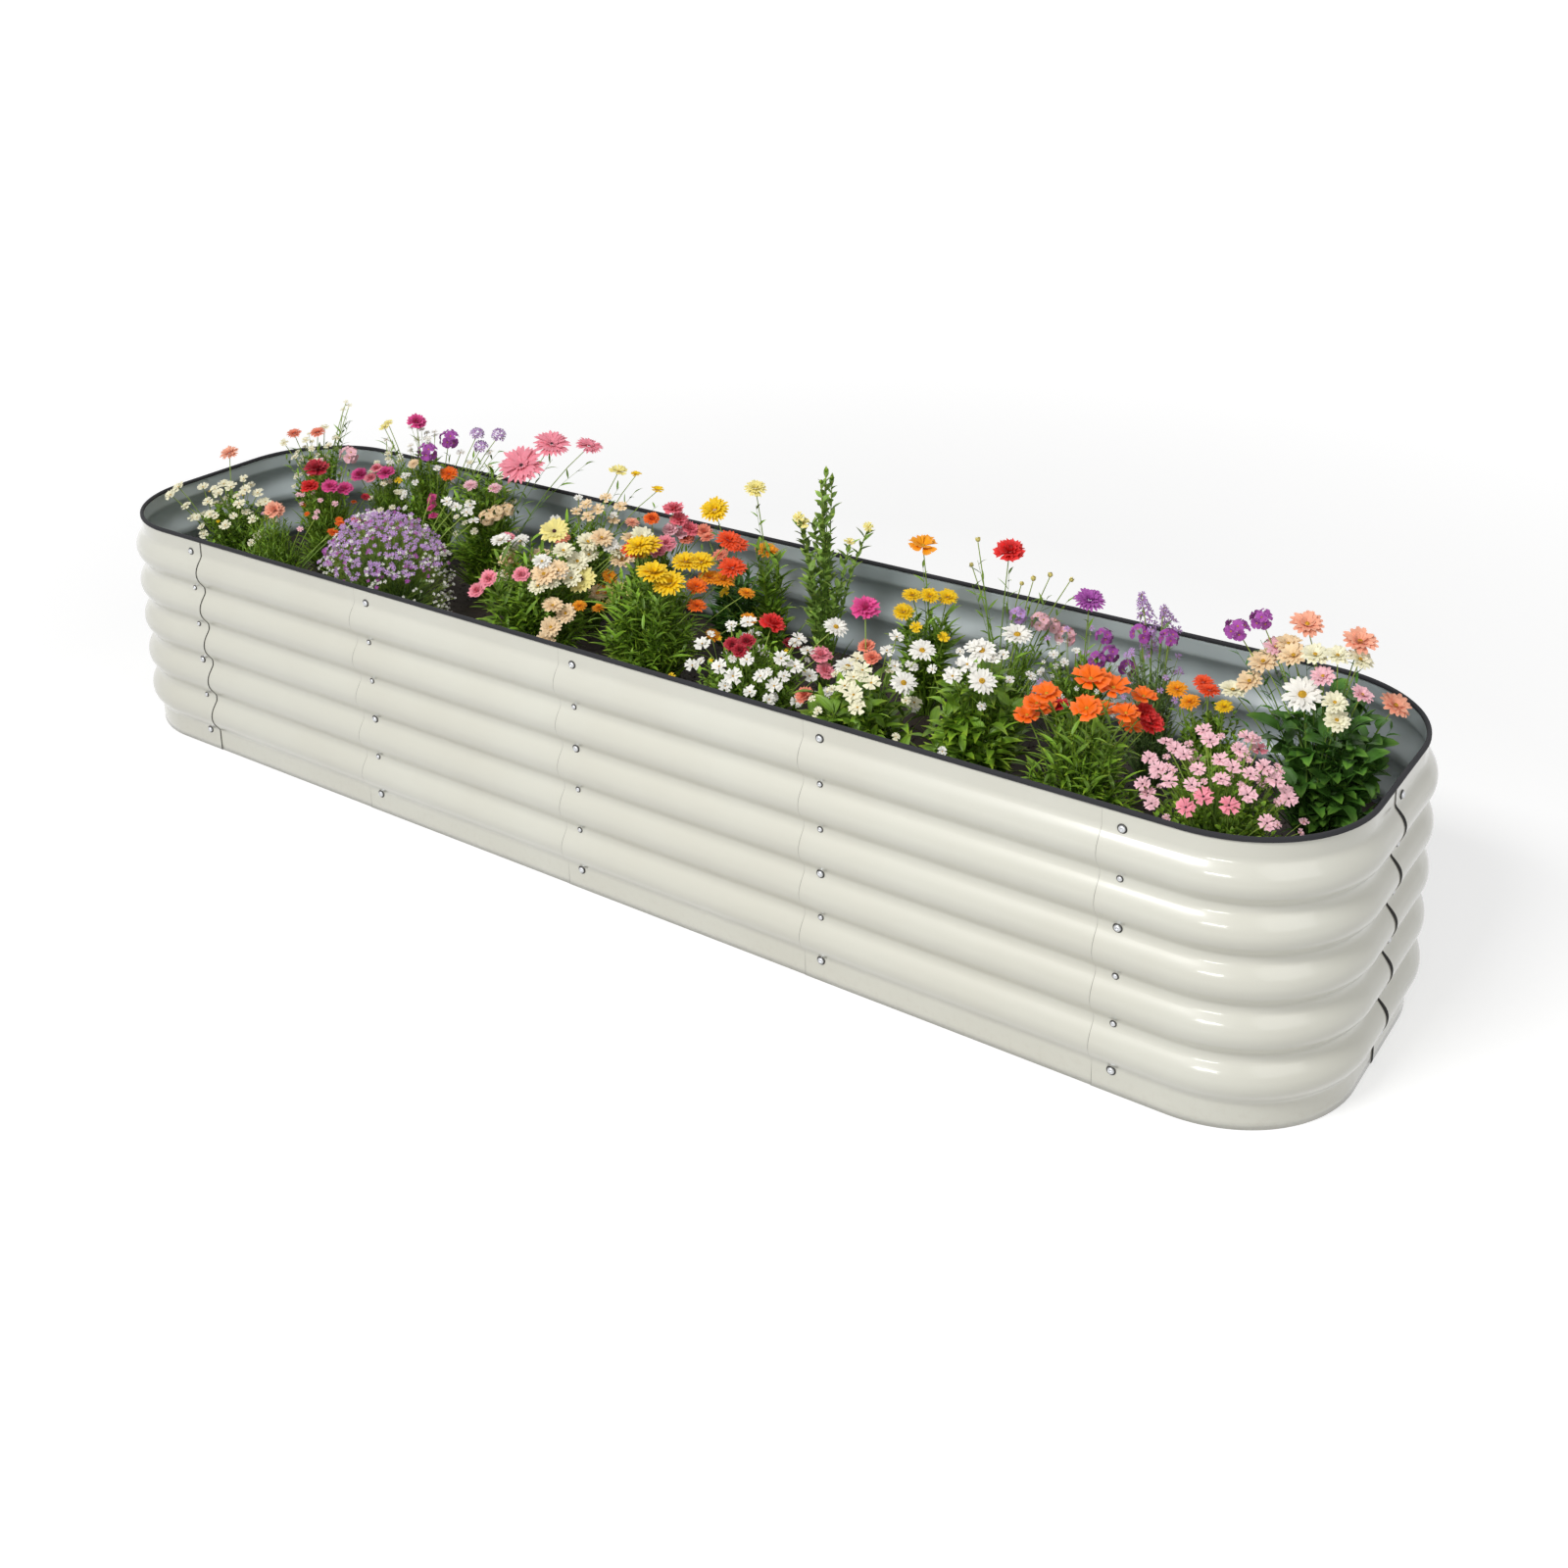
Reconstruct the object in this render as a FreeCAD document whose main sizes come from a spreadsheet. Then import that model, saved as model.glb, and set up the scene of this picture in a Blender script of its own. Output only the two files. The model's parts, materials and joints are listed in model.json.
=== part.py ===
import FreeCAD, Part
import math
import os
import Sketcher

# Raised garden bed of corrugated steel: eight straight side panels and four quarter-round
# corner panels are lapped and bolted into one long open ring, edged with a rubber rim,
# tied across by two rods, filled with soil and planted with flowers.
# Millimetres, +Z up. The origin is the middle of the bed on the ground it stands on.
# The front is the long side towards -Y. The back half is the front half turned round by
# half a turn, panels, laps and bolts alike.

SIZES = [
    ("BedLength", 2438.0, "over the wave crests of both ends"),
    ("BedWidth", 610.0, "over the wave crests of both long sides"),
    ("BedHeight", 432.0, "ground to the top of the rubber rim"),
    ("CornerRadius", 190.0, "corner radius of the valley line"),
    ("SheetThickness", 0.6, "coated steel sheet"),
    ("SheetClearance", 0.3, "between two lapped sheets"),
    ("WaveDepth", 16.0, "valley to crest"),
    ("ValleyFlat", 15.0, "flat strip in a valley, where the bolts sit"),
    ("CrestFlat", 15.0, "flat strip on a crest"),
    ("FirstValley", 36.0, "ground to the lowest valley and bolt row"),
    ("TopLip", 28.0, "highest valley and bolt row to the top edge of the sheet"),
    ("CornerTail", 78.8, "straight stretch of a corner panel, from its bend to its long-side seam"),
    ("LapWidth", 58.0, "how far two neighbours lap"),
    ("RimHeight", 10.0, "rubber rim, outside height"),
    ("RimRoof", 2.0, "rubber above the sheet edge"),
    ("RimWall", 1.8, "rubber on each side of the sheet"),
    ("RimClearance", 0.8, "between rubber and sheet"),
    ("LargeHeadWidth", 14.0, "bolt head with its washer, across corners"),
    ("LargeHeadHeight", 4.0, "bolt head with its washer"),
    ("SmallHeadWidth", 10.0, "plain bolt head, across corners"),
    ("SmallHeadHeight", 3.0, "plain bolt head"),
    ("NutWidth", 11.5, "nut, across corners"),
    ("NutHeight", 5.0, "nut"),
    ("SeatClearance", 0.1, "under bolt heads and nuts and at the rod ends"),
    ("RodDiameter", 8.0, "tie rod across the bed"),
    ("SoilHeight", 245.0, "ground to the top of the soil"),
    ("SoilClearance", 0.3, "between the soil and what is buried in it"),
    ("MoundHeight", 250.0, "full-grown mound of flowers, above the soil"),
    ("BunchHeight", 260.0, "bunch of long-stemmed flowers, above the soil"),
    ("StalkHeight", 330.0, "tall stalk, above the soil"),
]

WAVES = 5
CORNER_BENDS = 12
BOLT_ROWS = 6
SIDE_PANELS = 4
TIE_ROD_ROW = 2
TIE_ROD_SEAMS = (1, 3)
# Bolt rows that carry a larger head, counted up from the ground, for the seams of one long
# side from left to right and then for the seam in the middle of the right end.
LARGE_HEAD_ROWS = ((0, 2, 5), (0, 2, 5), (0, 3, 5), (0, 2, 5), (0, 3, 5), (0, 2, 5))

# How far each kind of clump spreads along and across the bed, from its middle, as a share of
# the bed's half length and half width: the planting plan stretches with the bed.
PLANT_SPREAD = {"Mound": (0.0832, 0.347), "Bunch": (0.0516, 0.215), "Stalk": (0.0250, 0.104)}

# Flower clumps: name, kind, place along and across the bed as a share of the half length
# and half width, and how its spread and height compare with its kind.
PLANTS = [
    ("cream_violas", "Mound", -0.905, -0.20, 0.88, 0.82),
    ("salmon_cushion", "Mound", -0.740, -0.46, 0.75, 0.85),
    ("coral_stalks", "Bunch", -0.880, 0.50, 1.00, 1.08),
    ("red_carnations", "Bunch", -0.770, 0.14, 0.95, 1.00),
    ("rose_pinks", "Bunch", -0.740, 0.62, 0.95, 0.93),
    ("purple_phlox", "Bunch", -0.625, 0.55, 0.95, 1.28),
    ("lavender_mound", "Mound", -0.505, -0.38, 1.28, 0.97),
    ("pink_gerberas", "Bunch", -0.480, 0.45, 1.05, 1.35),
    ("yellow_stems", "Stalk", -0.345, 0.68, 1.00, 0.88),
    ("apricot_cluster", "Mound", -0.262, 0.44, 0.56, 1.08),
    ("peach_daisies", "Mound", -0.235, -0.20, 1.15, 1.06),
    ("rose_cluster", "Bunch", -0.165, 0.55, 0.90, 1.02),
    ("yellow_mums", "Mound", -0.045, -0.10, 1.05, 1.07),
    ("orange_zinnias", "Bunch", -0.010, 0.60, 0.85, 0.98),
    ("tall_stalk", "Stalk", 0.062, 0.55, 1.10, 1.12),
    ("white_verbena", "Mound", 0.165, -0.30, 1.10, 0.80),
    ("leafy_stalk", "Stalk", 0.160, 0.50, 1.20, 1.21),
    ("white_stocks", "Mound", 0.350, -0.38, 1.02, 0.80),
    ("yellow_daisies", "Bunch", 0.320, 0.55, 0.90, 1.20),
    ("white_daisies", "Mound", 0.500, -0.22, 0.90, 1.08),
    ("red_ranunculus", "Bunch", 0.445, 0.55, 1.00, 1.31),
    ("purple_scabious", "Bunch", 0.560, 0.45, 0.98, 1.16),
    ("orange_poppies", "Mound", 0.655, -0.33, 0.98, 1.08),
    ("purple_spikes", "Stalk", 0.665, 0.42, 1.60, 0.99),
    ("orange_marigolds", "Mound", 0.762, 0.20, 0.58, 0.93),
    ("peach_dahlias", "Mound", 0.895, 0.30, 0.90, 1.45),
    ("pink_verbena", "Mound", 0.835, -0.42, 1.08, 0.98),
]

doc = FreeCAD.newDocument("RaisedGardenBed")
sheet = doc.addObject("Spreadsheet::Sheet", "Sizes")
for row, (alias, value, note) in enumerate(SIZES, start=1):
    sheet.set(f"A{row}", alias)
    sheet.set(f"B{row}", str(value))
    sheet.set(f"C{row}", note)
    sheet.setAlias(f"B{row}", alias)
doc.recompute()


def cell(alias):
    return f"Sizes.{alias}"


def bind(feature, path, expression):
    feature.setExpression(path, expression)


# Lines that several pieces share. The wall line is the middle of the inner sheet in a
# valley; a lapped outer sheet lies one lap step further out.
LAP_STEP = f"({cell('SheetThickness')} + {cell('SheetClearance')})"
CREST_REACH = f"({cell('WaveDepth')} + {cell('SheetThickness')} / 2 + {LAP_STEP})"
HALF_LENGTH = f"({cell('BedLength')} / 2 - {CREST_REACH})"
HALF_WIDTH = f"({cell('BedWidth')} / 2 - {CREST_REACH})"
SHEET_TOP = f"({cell('BedHeight')} - {cell('RimRoof')})"
WAVE_PITCH = f"(({SHEET_TOP} - {cell('TopLip')} - {cell('FirstValley')}) / {WAVES})"
FLANK_RUN = f"(({WAVE_PITCH} - {cell('ValleyFlat')} - {cell('CrestFlat')}) / 2)"
FLANK_SLANT = f"sqrt({FLANK_RUN} * {FLANK_RUN} + {cell('WaveDepth')} * {cell('WaveDepth')})"
MITRE = f"({cell('SheetThickness')} / 2 * ({FLANK_SLANT} - {FLANK_RUN}) / {cell('WaveDepth')})"
CORNER_CENTRE_X = f"({HALF_LENGTH} - {cell('CornerRadius')})"
CORNER_CENTRE_Y = f"({HALF_WIDTH} - {cell('CornerRadius')})"
PANEL_PITCH = f"(2 * ({CORNER_CENTRE_X} - {cell('CornerTail')}) / {SIDE_PANELS})"
HEAD_SEAT = f"({LAP_STEP} + {cell('SheetThickness')} / 2 + {cell('SeatClearance')})"
NUT_SEAT = f"({cell('SheetThickness')} / 2 + {cell('SeatClearance')})"
NUT_REACH = f"({NUT_SEAT} + {cell('NutHeight')})"


def row_height(bolt_row):
    return f"({cell('FirstValley')} + {bolt_row} * {WAVE_PITCH})"


def seam_x(seam):
    return f"(({seam} - {SIDE_PANELS} / 2) * {PANEL_PITCH})"


def new_body(label):
    body = doc.addObject("PartDesign::Body", label)
    body.Label = label
    return body


def plane_of(body, role):
    return next(plane for plane in body.Origin.OriginFeatures if plane.Role == role)


def new_sketch(body, name, role):
    sketch = body.newObject("Sketcher::SketchObject", name)
    sketch.AttachmentSupport = [(plane_of(body, role), "")]
    sketch.MapMode = "FlatFace"
    return sketch


def estimate(expression):
    """Value of an expression now, so that a sketch is drawn near its solution."""
    return float(sheet.evalExpression(expression))


def bound_constraint(sketch, kind, *where, to):
    """Add a sketch size and bind it to an expression."""
    mark = sketch.addConstraint(Sketcher.Constraint(kind, *where, estimate(to)))
    bind(sketch, f"Constraints[{mark}]", to)


def wave_side(face):
    """Corners of one face of the sheet, bottom to top: +1 is the outer face, -1 the inner."""
    valley = f"{cell('CornerRadius')} + {face} * {cell('SheetThickness')} / 2"
    crest = f"{valley} + {cell('WaveDepth')}"
    corners = []
    for wave in range(WAVES):
        below = f"{row_height(wave)} + {cell('ValleyFlat')} / 2 - {face} * {MITRE}"
        above = f"{row_height(wave + 1)} - {cell('ValleyFlat')} / 2 + {face} * {MITRE}"
        corners.append((valley, below))
        corners.append((crest, f"{below} + {FLANK_RUN}"))
        corners.append((crest, f"{above} - {FLANK_RUN}"))
        corners.append((valley, above))
    corners.append((valley, SHEET_TOP))
    return valley, corners


def wave_sketch(body, role):
    """Section of the corrugated sheet: flat lips at the bottom and top, five crests between."""
    sketch = new_sketch(body, "WaveSection", role)
    outer_valley, outer = wave_side(1)
    inner_valley, inner = wave_side(-1)
    corners = [(outer_valley, None)] + outer + inner[::-1] + [(inner_valley, None)]
    drawn = [
        FreeCAD.Vector(estimate(across), estimate(along) if along else 0.0, 0)
        for across, along in corners
    ]
    count = len(corners)
    for corner in range(count):
        sketch.addGeometry(Part.LineSegment(drawn[corner], drawn[(corner + 1) % count]), False)
    for corner in range(count):
        sketch.addConstraint(
            Sketcher.Constraint("Coincident", corner, 2, (corner + 1) % count, 1)
        )
    for corner, (across, along) in enumerate(corners):
        bound_constraint(sketch, "DistanceX", -1, 1, corner, 1, to=across)
        if along:
            bound_constraint(sketch, "DistanceY", -1, 1, corner, 1, to=along)
        else:
            sketch.addConstraint(Sketcher.Constraint("PointOnObject", corner, 1, -1))
    return sketch


def pad(body, name, profile, length, reverse=False):
    feature = body.newObject("PartDesign::Pad", name)
    feature.Profile = profile
    feature.Reversed = reverse
    bind(feature, "Length", length)
    return feature


def place(piece, across, along, height, angle):
    """Stand a piece at a point, turned about the upright axis by an angle in degrees."""
    turn = FreeCAD.Rotation(FreeCAD.Vector(0, 0, 1), 45)
    piece.Placement = FreeCAD.Placement(FreeCAD.Vector(1, 1, 1), turn)
    bind(piece, "Placement.Base.x", across)
    bind(piece, "Placement.Base.y", along)
    bind(piece, "Placement.Base.z", height)
    bind(piece, "Placement.Rotation.Angle", angle)


def side_panel(label, seam, half_turn):
    """Straight panel between a seam and the next one to its left, as seen from its own side.

    Its left end laps over the neighbour, so it stands one lap step further out there; the
    first panel lies under both neighbours and stands straight.
    """
    body = new_body(label)
    section = wave_sketch(body, "YZ_Plane")
    bind(section, "AttachmentOffset.Base.z", f"-{cell('LapWidth')} / 2")
    pad(body, "Sheet", section, f"{PANEL_PITCH} + {cell('LapWidth')}")
    side = -1 if half_turn else 1
    rise = 0 if seam == 1 else 1
    place(
        body,
        f"{side} * {seam_x(seam)}",
        f"{-side} * {CORNER_CENTRE_Y}",
        "0",
        f"{90 * (1 + side)} deg + atan({rise} * {LAP_STEP} / {PANEL_PITCH})",
    )
    return body


SIDE_TAIL = f"({cell('CornerTail')} + {cell('LapWidth')} / 2)"
END_TAIL = f"({CORNER_CENTRE_Y} + {cell('LapWidth')} / 2)"


def bend_path(body, first_tail, second_tail):
    """Plan of a corner panel: a tail, the quarter turn as equal short bends, a tail."""
    path = new_sketch(body, "BendPath", "XY_Plane")
    radius = estimate(cell("CornerRadius"))
    turn = math.pi / 2 / CORNER_BENDS
    points = [FreeCAD.Vector(radius, -estimate(first_tail), 0)]
    for bend in range(CORNER_BENDS + 1):
        points.append(FreeCAD.Vector(math.cos(bend * turn), math.sin(bend * turn), 0) * radius)
    points.append(FreeCAD.Vector(-estimate(second_tail), radius, 0))
    last = len(points) - 2
    for line in range(last + 1):
        path.addGeometry(Part.LineSegment(points[line], points[line + 1]), False)
    guide = path.addGeometry(
        Part.Circle(FreeCAD.Vector(0, 0, 0), FreeCAD.Vector(0, 0, 1), radius), True
    )
    path.addConstraint(Sketcher.Constraint("Coincident", guide, 3, -1, 1))
    bound_constraint(path, "Radius", guide, to=cell("CornerRadius"))
    for line in range(last):
        path.addConstraint(Sketcher.Constraint("Coincident", line, 2, line + 1, 1))
    for line in range(2, last):
        path.addConstraint(Sketcher.Constraint("PointOnObject", line, 1, guide))
        path.addConstraint(Sketcher.Constraint("Equal", line - 1, line))
    path.addConstraint(Sketcher.Constraint("PointOnObject", 0, 2, guide))
    path.addConstraint(Sketcher.Constraint("PointOnObject", 0, 2, -1))
    path.addConstraint(Sketcher.Constraint("PointOnObject", last, 1, guide))
    path.addConstraint(Sketcher.Constraint("PointOnObject", last, 1, -2))
    path.addConstraint(Sketcher.Constraint("Vertical", 0))
    path.addConstraint(Sketcher.Constraint("Horizontal", last))
    bound_constraint(path, "DistanceY", 0, 1, 0, 2, to=first_tail)
    bound_constraint(path, "DistanceX", last, 2, last, 1, to=second_tail)
    return path


def corner_panel(label, first_tail, second_tail, shift_x, shift_y, quarter):
    """Quarter round of corrugated sheet with a straight tail at each end."""
    body = new_body(label)
    path = bend_path(body, first_tail, second_tail)
    section = wave_sketch(body, "XZ_Plane")
    bind(section, "AttachmentOffset.Base.z", first_tail)
    doc.recompute()
    sweep = body.newObject("PartDesign::AdditivePipe", "Sheet")
    sweep.Profile = section
    sweep.Spine = (path, [])
    sweep.Transition = "Right corner"
    side_x = 1 if quarter in (0, 3) else -1
    side_y = 1 if quarter in (0, 1) else -1
    place(
        body,
        f"{side_x} * {CORNER_CENTRE_X} + {shift_x} * {LAP_STEP}",
        f"{side_y} * {CORNER_CENTRE_Y} + {shift_y} * {LAP_STEP}",
        "0",
        f"{quarter * 90} deg",
    )
    return body


def rounded_outline(sketch, half_length, half_width, radius):
    """Closed outline round the bed: four straights and four quarter rounds."""
    reach_x, reach_y, bend = estimate(half_length), estimate(half_width), estimate(radius)
    first = sketch.GeometryCount
    quarter = math.pi / 2
    for side in range(4):
        turned = FreeCAD.Rotation(FreeCAD.Vector(0, 0, 1), 90 * side)
        ahead, beside = (reach_x, reach_y) if side % 2 == 0 else (reach_y, reach_x)
        start = turned.multVec(FreeCAD.Vector(bend - ahead, -beside, 0))
        end = turned.multVec(FreeCAD.Vector(ahead - bend, -beside, 0))
        centre = turned.multVec(FreeCAD.Vector(ahead - bend, bend - beside, 0))
        round_off = Part.Circle(centre, FreeCAD.Vector(0, 0, 1), bend)
        sketch.addGeometry(Part.LineSegment(start, end), False)
        sketch.addGeometry(
            Part.ArcOfCircle(round_off, quarter * (side - 1), quarter * side), False
        )
    for side in range(4):
        line, arc = first + 2 * side, first + 2 * side + 1
        following = first + (2 * side + 2) % 8
        sketch.addConstraint(Sketcher.Constraint("Tangent", line, 2, arc, 1))
        sketch.addConstraint(Sketcher.Constraint("Tangent", arc, 2, following, 1))
    sketch.addConstraint(Sketcher.Constraint("Horizontal", first + 4))
    sketch.addConstraint(Sketcher.Constraint("Vertical", first + 6))
    for side in range(1, 4):
        sketch.addConstraint(Sketcher.Constraint("Equal", first + 1, first + 2 * side + 1))
    sketch.addConstraint(Sketcher.Constraint("Symmetric", first, 1, first, 2, -2))
    sketch.addConstraint(Sketcher.Constraint("Symmetric", first + 2, 1, first + 2, 2, -1))
    bound_constraint(sketch, "Radius", first + 1, to=radius)
    bound_constraint(sketch, "DistanceX", -1, 1, first + 2, 1, to=half_length)
    bound_constraint(sketch, "DistanceY", -1, 1, first + 4, 1, to=half_width)


def ring_sketch(body, name, inner_reach, outer_reach, outer_bend, height):
    """Two outlines, inside and outside the wall line, at a height."""
    sketch = new_sketch(body, name, "XY_Plane")
    bind(sketch, "AttachmentOffset.Base.z", height)
    for reach, bend in ((inner_reach, inner_reach), (outer_reach, outer_bend)):
        rounded_outline(
            sketch,
            f"({HALF_LENGTH} + {reach})",
            f"({HALF_WIDTH} + {reach})",
            f"({cell('CornerRadius')} + {bend})",
        )
    return sketch


def rim_edging():
    """Rubber channel pushed over the top edge of the sheets, all round the bed."""
    slot_inside = f"(-{cell('SheetThickness')} / 2 - {cell('RimClearance')})"
    slot_bend = f"({cell('SheetThickness')} / 2 + {cell('RimClearance')})"
    slot_outside = f"({LAP_STEP} + {slot_bend})"
    wall = cell("RimWall")
    underside = f"({cell('BedHeight')} - {cell('RimHeight')})"
    body = new_body("rim_edging")
    band = ring_sketch(
        body, "Band", f"({slot_inside} - {wall})", f"({slot_outside} + {wall})",
        f"({slot_bend} + {wall})", underside,
    )
    pad(body, "Rubber", band, cell("RimHeight"))
    doc.recompute()
    solid_rubber = body.Shape.Volume
    slot = ring_sketch(body, "Slot", slot_inside, slot_outside, slot_bend, underside)
    channel = body.newObject("PartDesign::Pocket", "Channel")
    channel.Profile = slot
    channel.Reversed = True
    bind(channel, "Length", f"{cell('RimHeight')} - {cell('RimRoof')}")
    doc.recompute()
    if body.Shape.Volume >= solid_rubber:
        raise RuntimeError("the channel of the rim edging cut nothing")
    return body


def soil_fill():
    """Soil that fills the bed up to its planting level, hollow where the tie rods pass."""
    reach = f"({NUT_REACH} + {cell('SoilClearance')})"
    body = new_body("soil_fill")
    outline = new_sketch(body, "Outline", "XY_Plane")
    rounded_outline(
        outline,
        f"({HALF_LENGTH} - {reach})",
        f"({HALF_WIDTH} - {reach})",
        f"({cell('CornerRadius')} - {reach})",
    )
    pad(body, "Soil", outline, cell("SoilHeight"))
    doc.recompute()
    solid_soil = body.Shape.Volume
    tunnels = new_sketch(body, "RodTunnels", "XZ_Plane")
    for rank, seam in enumerate(TIE_ROD_SEAMS):
        side = -1 if seam < SIDE_PANELS / 2 else 1
        centre = FreeCAD.Vector(estimate(seam_x(seam)), estimate(row_height(TIE_ROD_ROW)), 0)
        tunnels.addGeometry(
            Part.Circle(centre, FreeCAD.Vector(0, 0, 1), estimate(cell("RodDiameter")) / 2), False
        )
        ends = (-1, 1, rank, 3) if side > 0 else (rank, 3, -1, 1)
        bound_constraint(tunnels, "DistanceX", *ends, to=f"{side} * {seam_x(seam)}")
        bound_constraint(tunnels, "DistanceY", -1, 1, rank, 3, to=row_height(TIE_ROD_ROW))
        bound_constraint(
            tunnels, "Radius", rank, to=f"{cell('RodDiameter')} / 2 + {cell('SoilClearance')}"
        )
    bore = body.newObject("PartDesign::Pocket", "RodBores")
    bore.Profile = tunnels
    bore.Midplane = True
    bore.Type = "ThroughAll"
    doc.recompute()
    if body.Shape.Volume >= solid_soil:
        raise RuntimeError("the rod bores cut nothing")
    return body


OUTWARD = {
    "front": FreeCAD.Rotation(FreeCAD.Vector(1, 0, 0), 90),
    "back": FreeCAD.Rotation(FreeCAD.Vector(1, 0, 0), -90),
    "right": FreeCAD.Rotation(FreeCAD.Vector(0, 1, 0), 90),
    "left": FreeCAD.Rotation(FreeCAD.Vector(0, 1, 0), -90),
}
FACING = {"front": "back", "back": "front", "right": "left", "left": "right"}


def bolt_places():
    """Every bolted spot: its side of the bed, seam or 0 at an end, row and place in the seam list."""
    for rank in range(SIDE_PANELS + 1):
        for bolt_row in range(BOLT_ROWS):
            yield "front", seam_x(rank), bolt_row, rank
            yield "back", f"-{seam_x(rank)}", bolt_row, rank
    for bolt_row in range(BOLT_ROWS):
        yield "right", "0", bolt_row, SIDE_PANELS + 1
        yield "left", "0", bolt_row, SIDE_PANELS + 1


def seat(piece, side, along, out, bolt_row):
    """Stand a fastener square to the wall, a distance out from the wall line."""
    direction = 1 if side in ("back", "right") else -1
    if side in ("front", "back"):
        bind(piece, "Placement.Base.x", along)
        bind(piece, "Placement.Base.y", f"{direction} * ({HALF_WIDTH} + {out})")
    else:
        bind(piece, "Placement.Base.x", f"{direction} * ({HALF_LENGTH} + {out})")
        bind(piece, "Placement.Base.y", along)
    bind(piece, "Placement.Base.z", row_height(bolt_row))


def hexagon_block(name, width, thickness, rotation):
    block = doc.addObject("Part::Prism", name)
    block.Polygon = 6
    bind(block, "Circumradius", f"{cell(width)} / 2")
    bind(block, "Height", cell(thickness))
    block.Placement = FreeCAD.Placement(FreeCAD.Vector(0, 0, 0), rotation)
    return block


def gather(label, pieces):
    """One sub-part made of separate identical solids."""
    group = doc.addObject("Part::Compound", label)
    group.Label = label
    group.Links = pieces
    return group


def fasteners():
    heads = {"Large": [], "Small": []}
    nuts = []
    for side, along, bolt_row, rank in bolt_places():
        kind = "Large" if bolt_row in LARGE_HEAD_ROWS[rank] else "Small"
        head = hexagon_block(
            f"{kind}Head", f"{kind}HeadWidth", f"{kind}HeadHeight", OUTWARD[side]
        )
        seat(head, side, along, HEAD_SEAT, bolt_row)
        heads[kind].append(head)
        nut = hexagon_block("Nut", "NutWidth", "NutHeight", OUTWARD[FACING[side]])
        seat(nut, side, along, f"-{NUT_SEAT}", bolt_row)
        nuts.append(nut)
    return [
        gather("large_head_bolts", heads["Large"]),
        gather("small_head_bolts", heads["Small"]),
        gather("bolt_nuts", nuts),
    ]


def tie_rods():
    """Rods across the bed below the soil, from nut to nut, that keep the long sides straight."""
    rods = []
    reach = f"({HALF_WIDTH} - {NUT_REACH} - {cell('SeatClearance')})"
    for seam in TIE_ROD_SEAMS:
        rod = doc.addObject("Part::Cylinder", "Rod")
        bind(rod, "Radius", f"{cell('RodDiameter')} / 2")
        bind(rod, "Height", f"2 * {reach}")
        rod.Placement = FreeCAD.Placement(FreeCAD.Vector(0, 0, 0), OUTWARD["back"])
        bind(rod, "Placement.Base.x", seam_x(seam))
        bind(rod, "Placement.Base.y", f"-{reach}")
        bind(rod, "Placement.Base.z", row_height(TIE_ROD_ROW))
        rods.append(rod)
    return gather("tie_rods", rods)


# Outline of each kind of flower clump: share of its height, share of its spread.
PLANT_OUTLINES = {
    "Mound": ((0.0, 0.50), (0.40, 1.0), (0.80, 0.88), (1.0, 0.50)),
    "Bunch": ((0.0, 0.40), (0.40, 0.85), (0.80, 1.0), (1.0, 0.65)),
    "Stalk": ((0.0, 0.50), (0.25, 1.0), (1.0, 0.45)),
}
PLANT_SIDES = 8


def flat_ring(reach_x, reach_y, height):
    """Corners of a level many-sided outline, the first one repeated at the end."""
    turn = 2 * math.pi / PLANT_SIDES
    corners = [
        FreeCAD.Vector(reach_x * math.cos(side * turn), reach_y * math.sin(side * turn), height)
        for side in range(PLANT_SIDES)
    ]
    return corners + corners[:1]


def plant(name, kind, share_x, share_y, spread, growth):
    """Flower clump as a simple closed solid with flat faces that stands on the soil."""
    half_length, half_width = estimate(HALF_LENGTH), estimate(HALF_WIDTH)
    share_along, share_across = PLANT_SPREAD[kind]
    reach_x = spread * share_along * half_length
    reach_y = spread * share_across * half_width
    full_height = growth * estimate(cell(f"{kind}Height"))
    rings = [
        flat_ring(width * reach_x, width * reach_y, height * full_height)
        for height, width in PLANT_OUTLINES[kind]
    ]
    faces = [Part.Face(Part.makePolygon(rings[0])), Part.Face(Part.makePolygon(rings[-1]))]
    for lower, upper in zip(rings, rings[1:]):
        for side in range(PLANT_SIDES):
            outline = [lower[side], lower[side + 1], upper[side + 1], upper[side], lower[side]]
            faces.append(Part.Face(Part.makePolygon(outline)))
    clump = doc.addObject("Part::Feature", name)
    clump.Label = name
    clump.Shape = Part.Solid(Part.Shell(faces))
    clump.Placement.Base = FreeCAD.Vector(
        share_x * half_length,
        share_y * half_width,
        estimate(cell("SoilHeight")),
    )
    return clump


sub_parts = [
    corner_panel("corner_panel_back_right", END_TAIL, SIDE_TAIL, 1, 1, 0),
    corner_panel("corner_panel_back_left", SIDE_TAIL, END_TAIL, 0, 1, 1),
    corner_panel("corner_panel_front_left", END_TAIL, SIDE_TAIL, -1, -1, 2),
    corner_panel("corner_panel_front_right", SIDE_TAIL, END_TAIL, 0, -1, 3),
]
for seam in range(1, SIDE_PANELS + 1):
    sub_parts.append(side_panel(f"side_panel_front_{seam}", seam, half_turn=False))
    sub_parts.append(side_panel(f"side_panel_back_{seam}", seam, half_turn=True))
sub_parts.append(rim_edging())
sub_parts.append(soil_fill())
sub_parts.extend(fasteners())
sub_parts.append(tie_rods())
for entry in PLANTS:
    sub_parts.append(plant(*entry))

doc.recompute()
for feature in doc.Objects:
    if "Invalid" in feature.State or "Error" in feature.State:
        raise RuntimeError(f"{feature.Label} did not build: {feature.State}")
for part in sub_parts:
    if part.Shape.isNull() or not part.Shape.isValid():
        raise RuntimeError(f"{part.Label} has no valid shape")
os.makedirs("parts", exist_ok=True)
for part in sub_parts:
    part.Shape.exportStep(os.path.join("parts", f"{part.Label}.step"))
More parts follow.
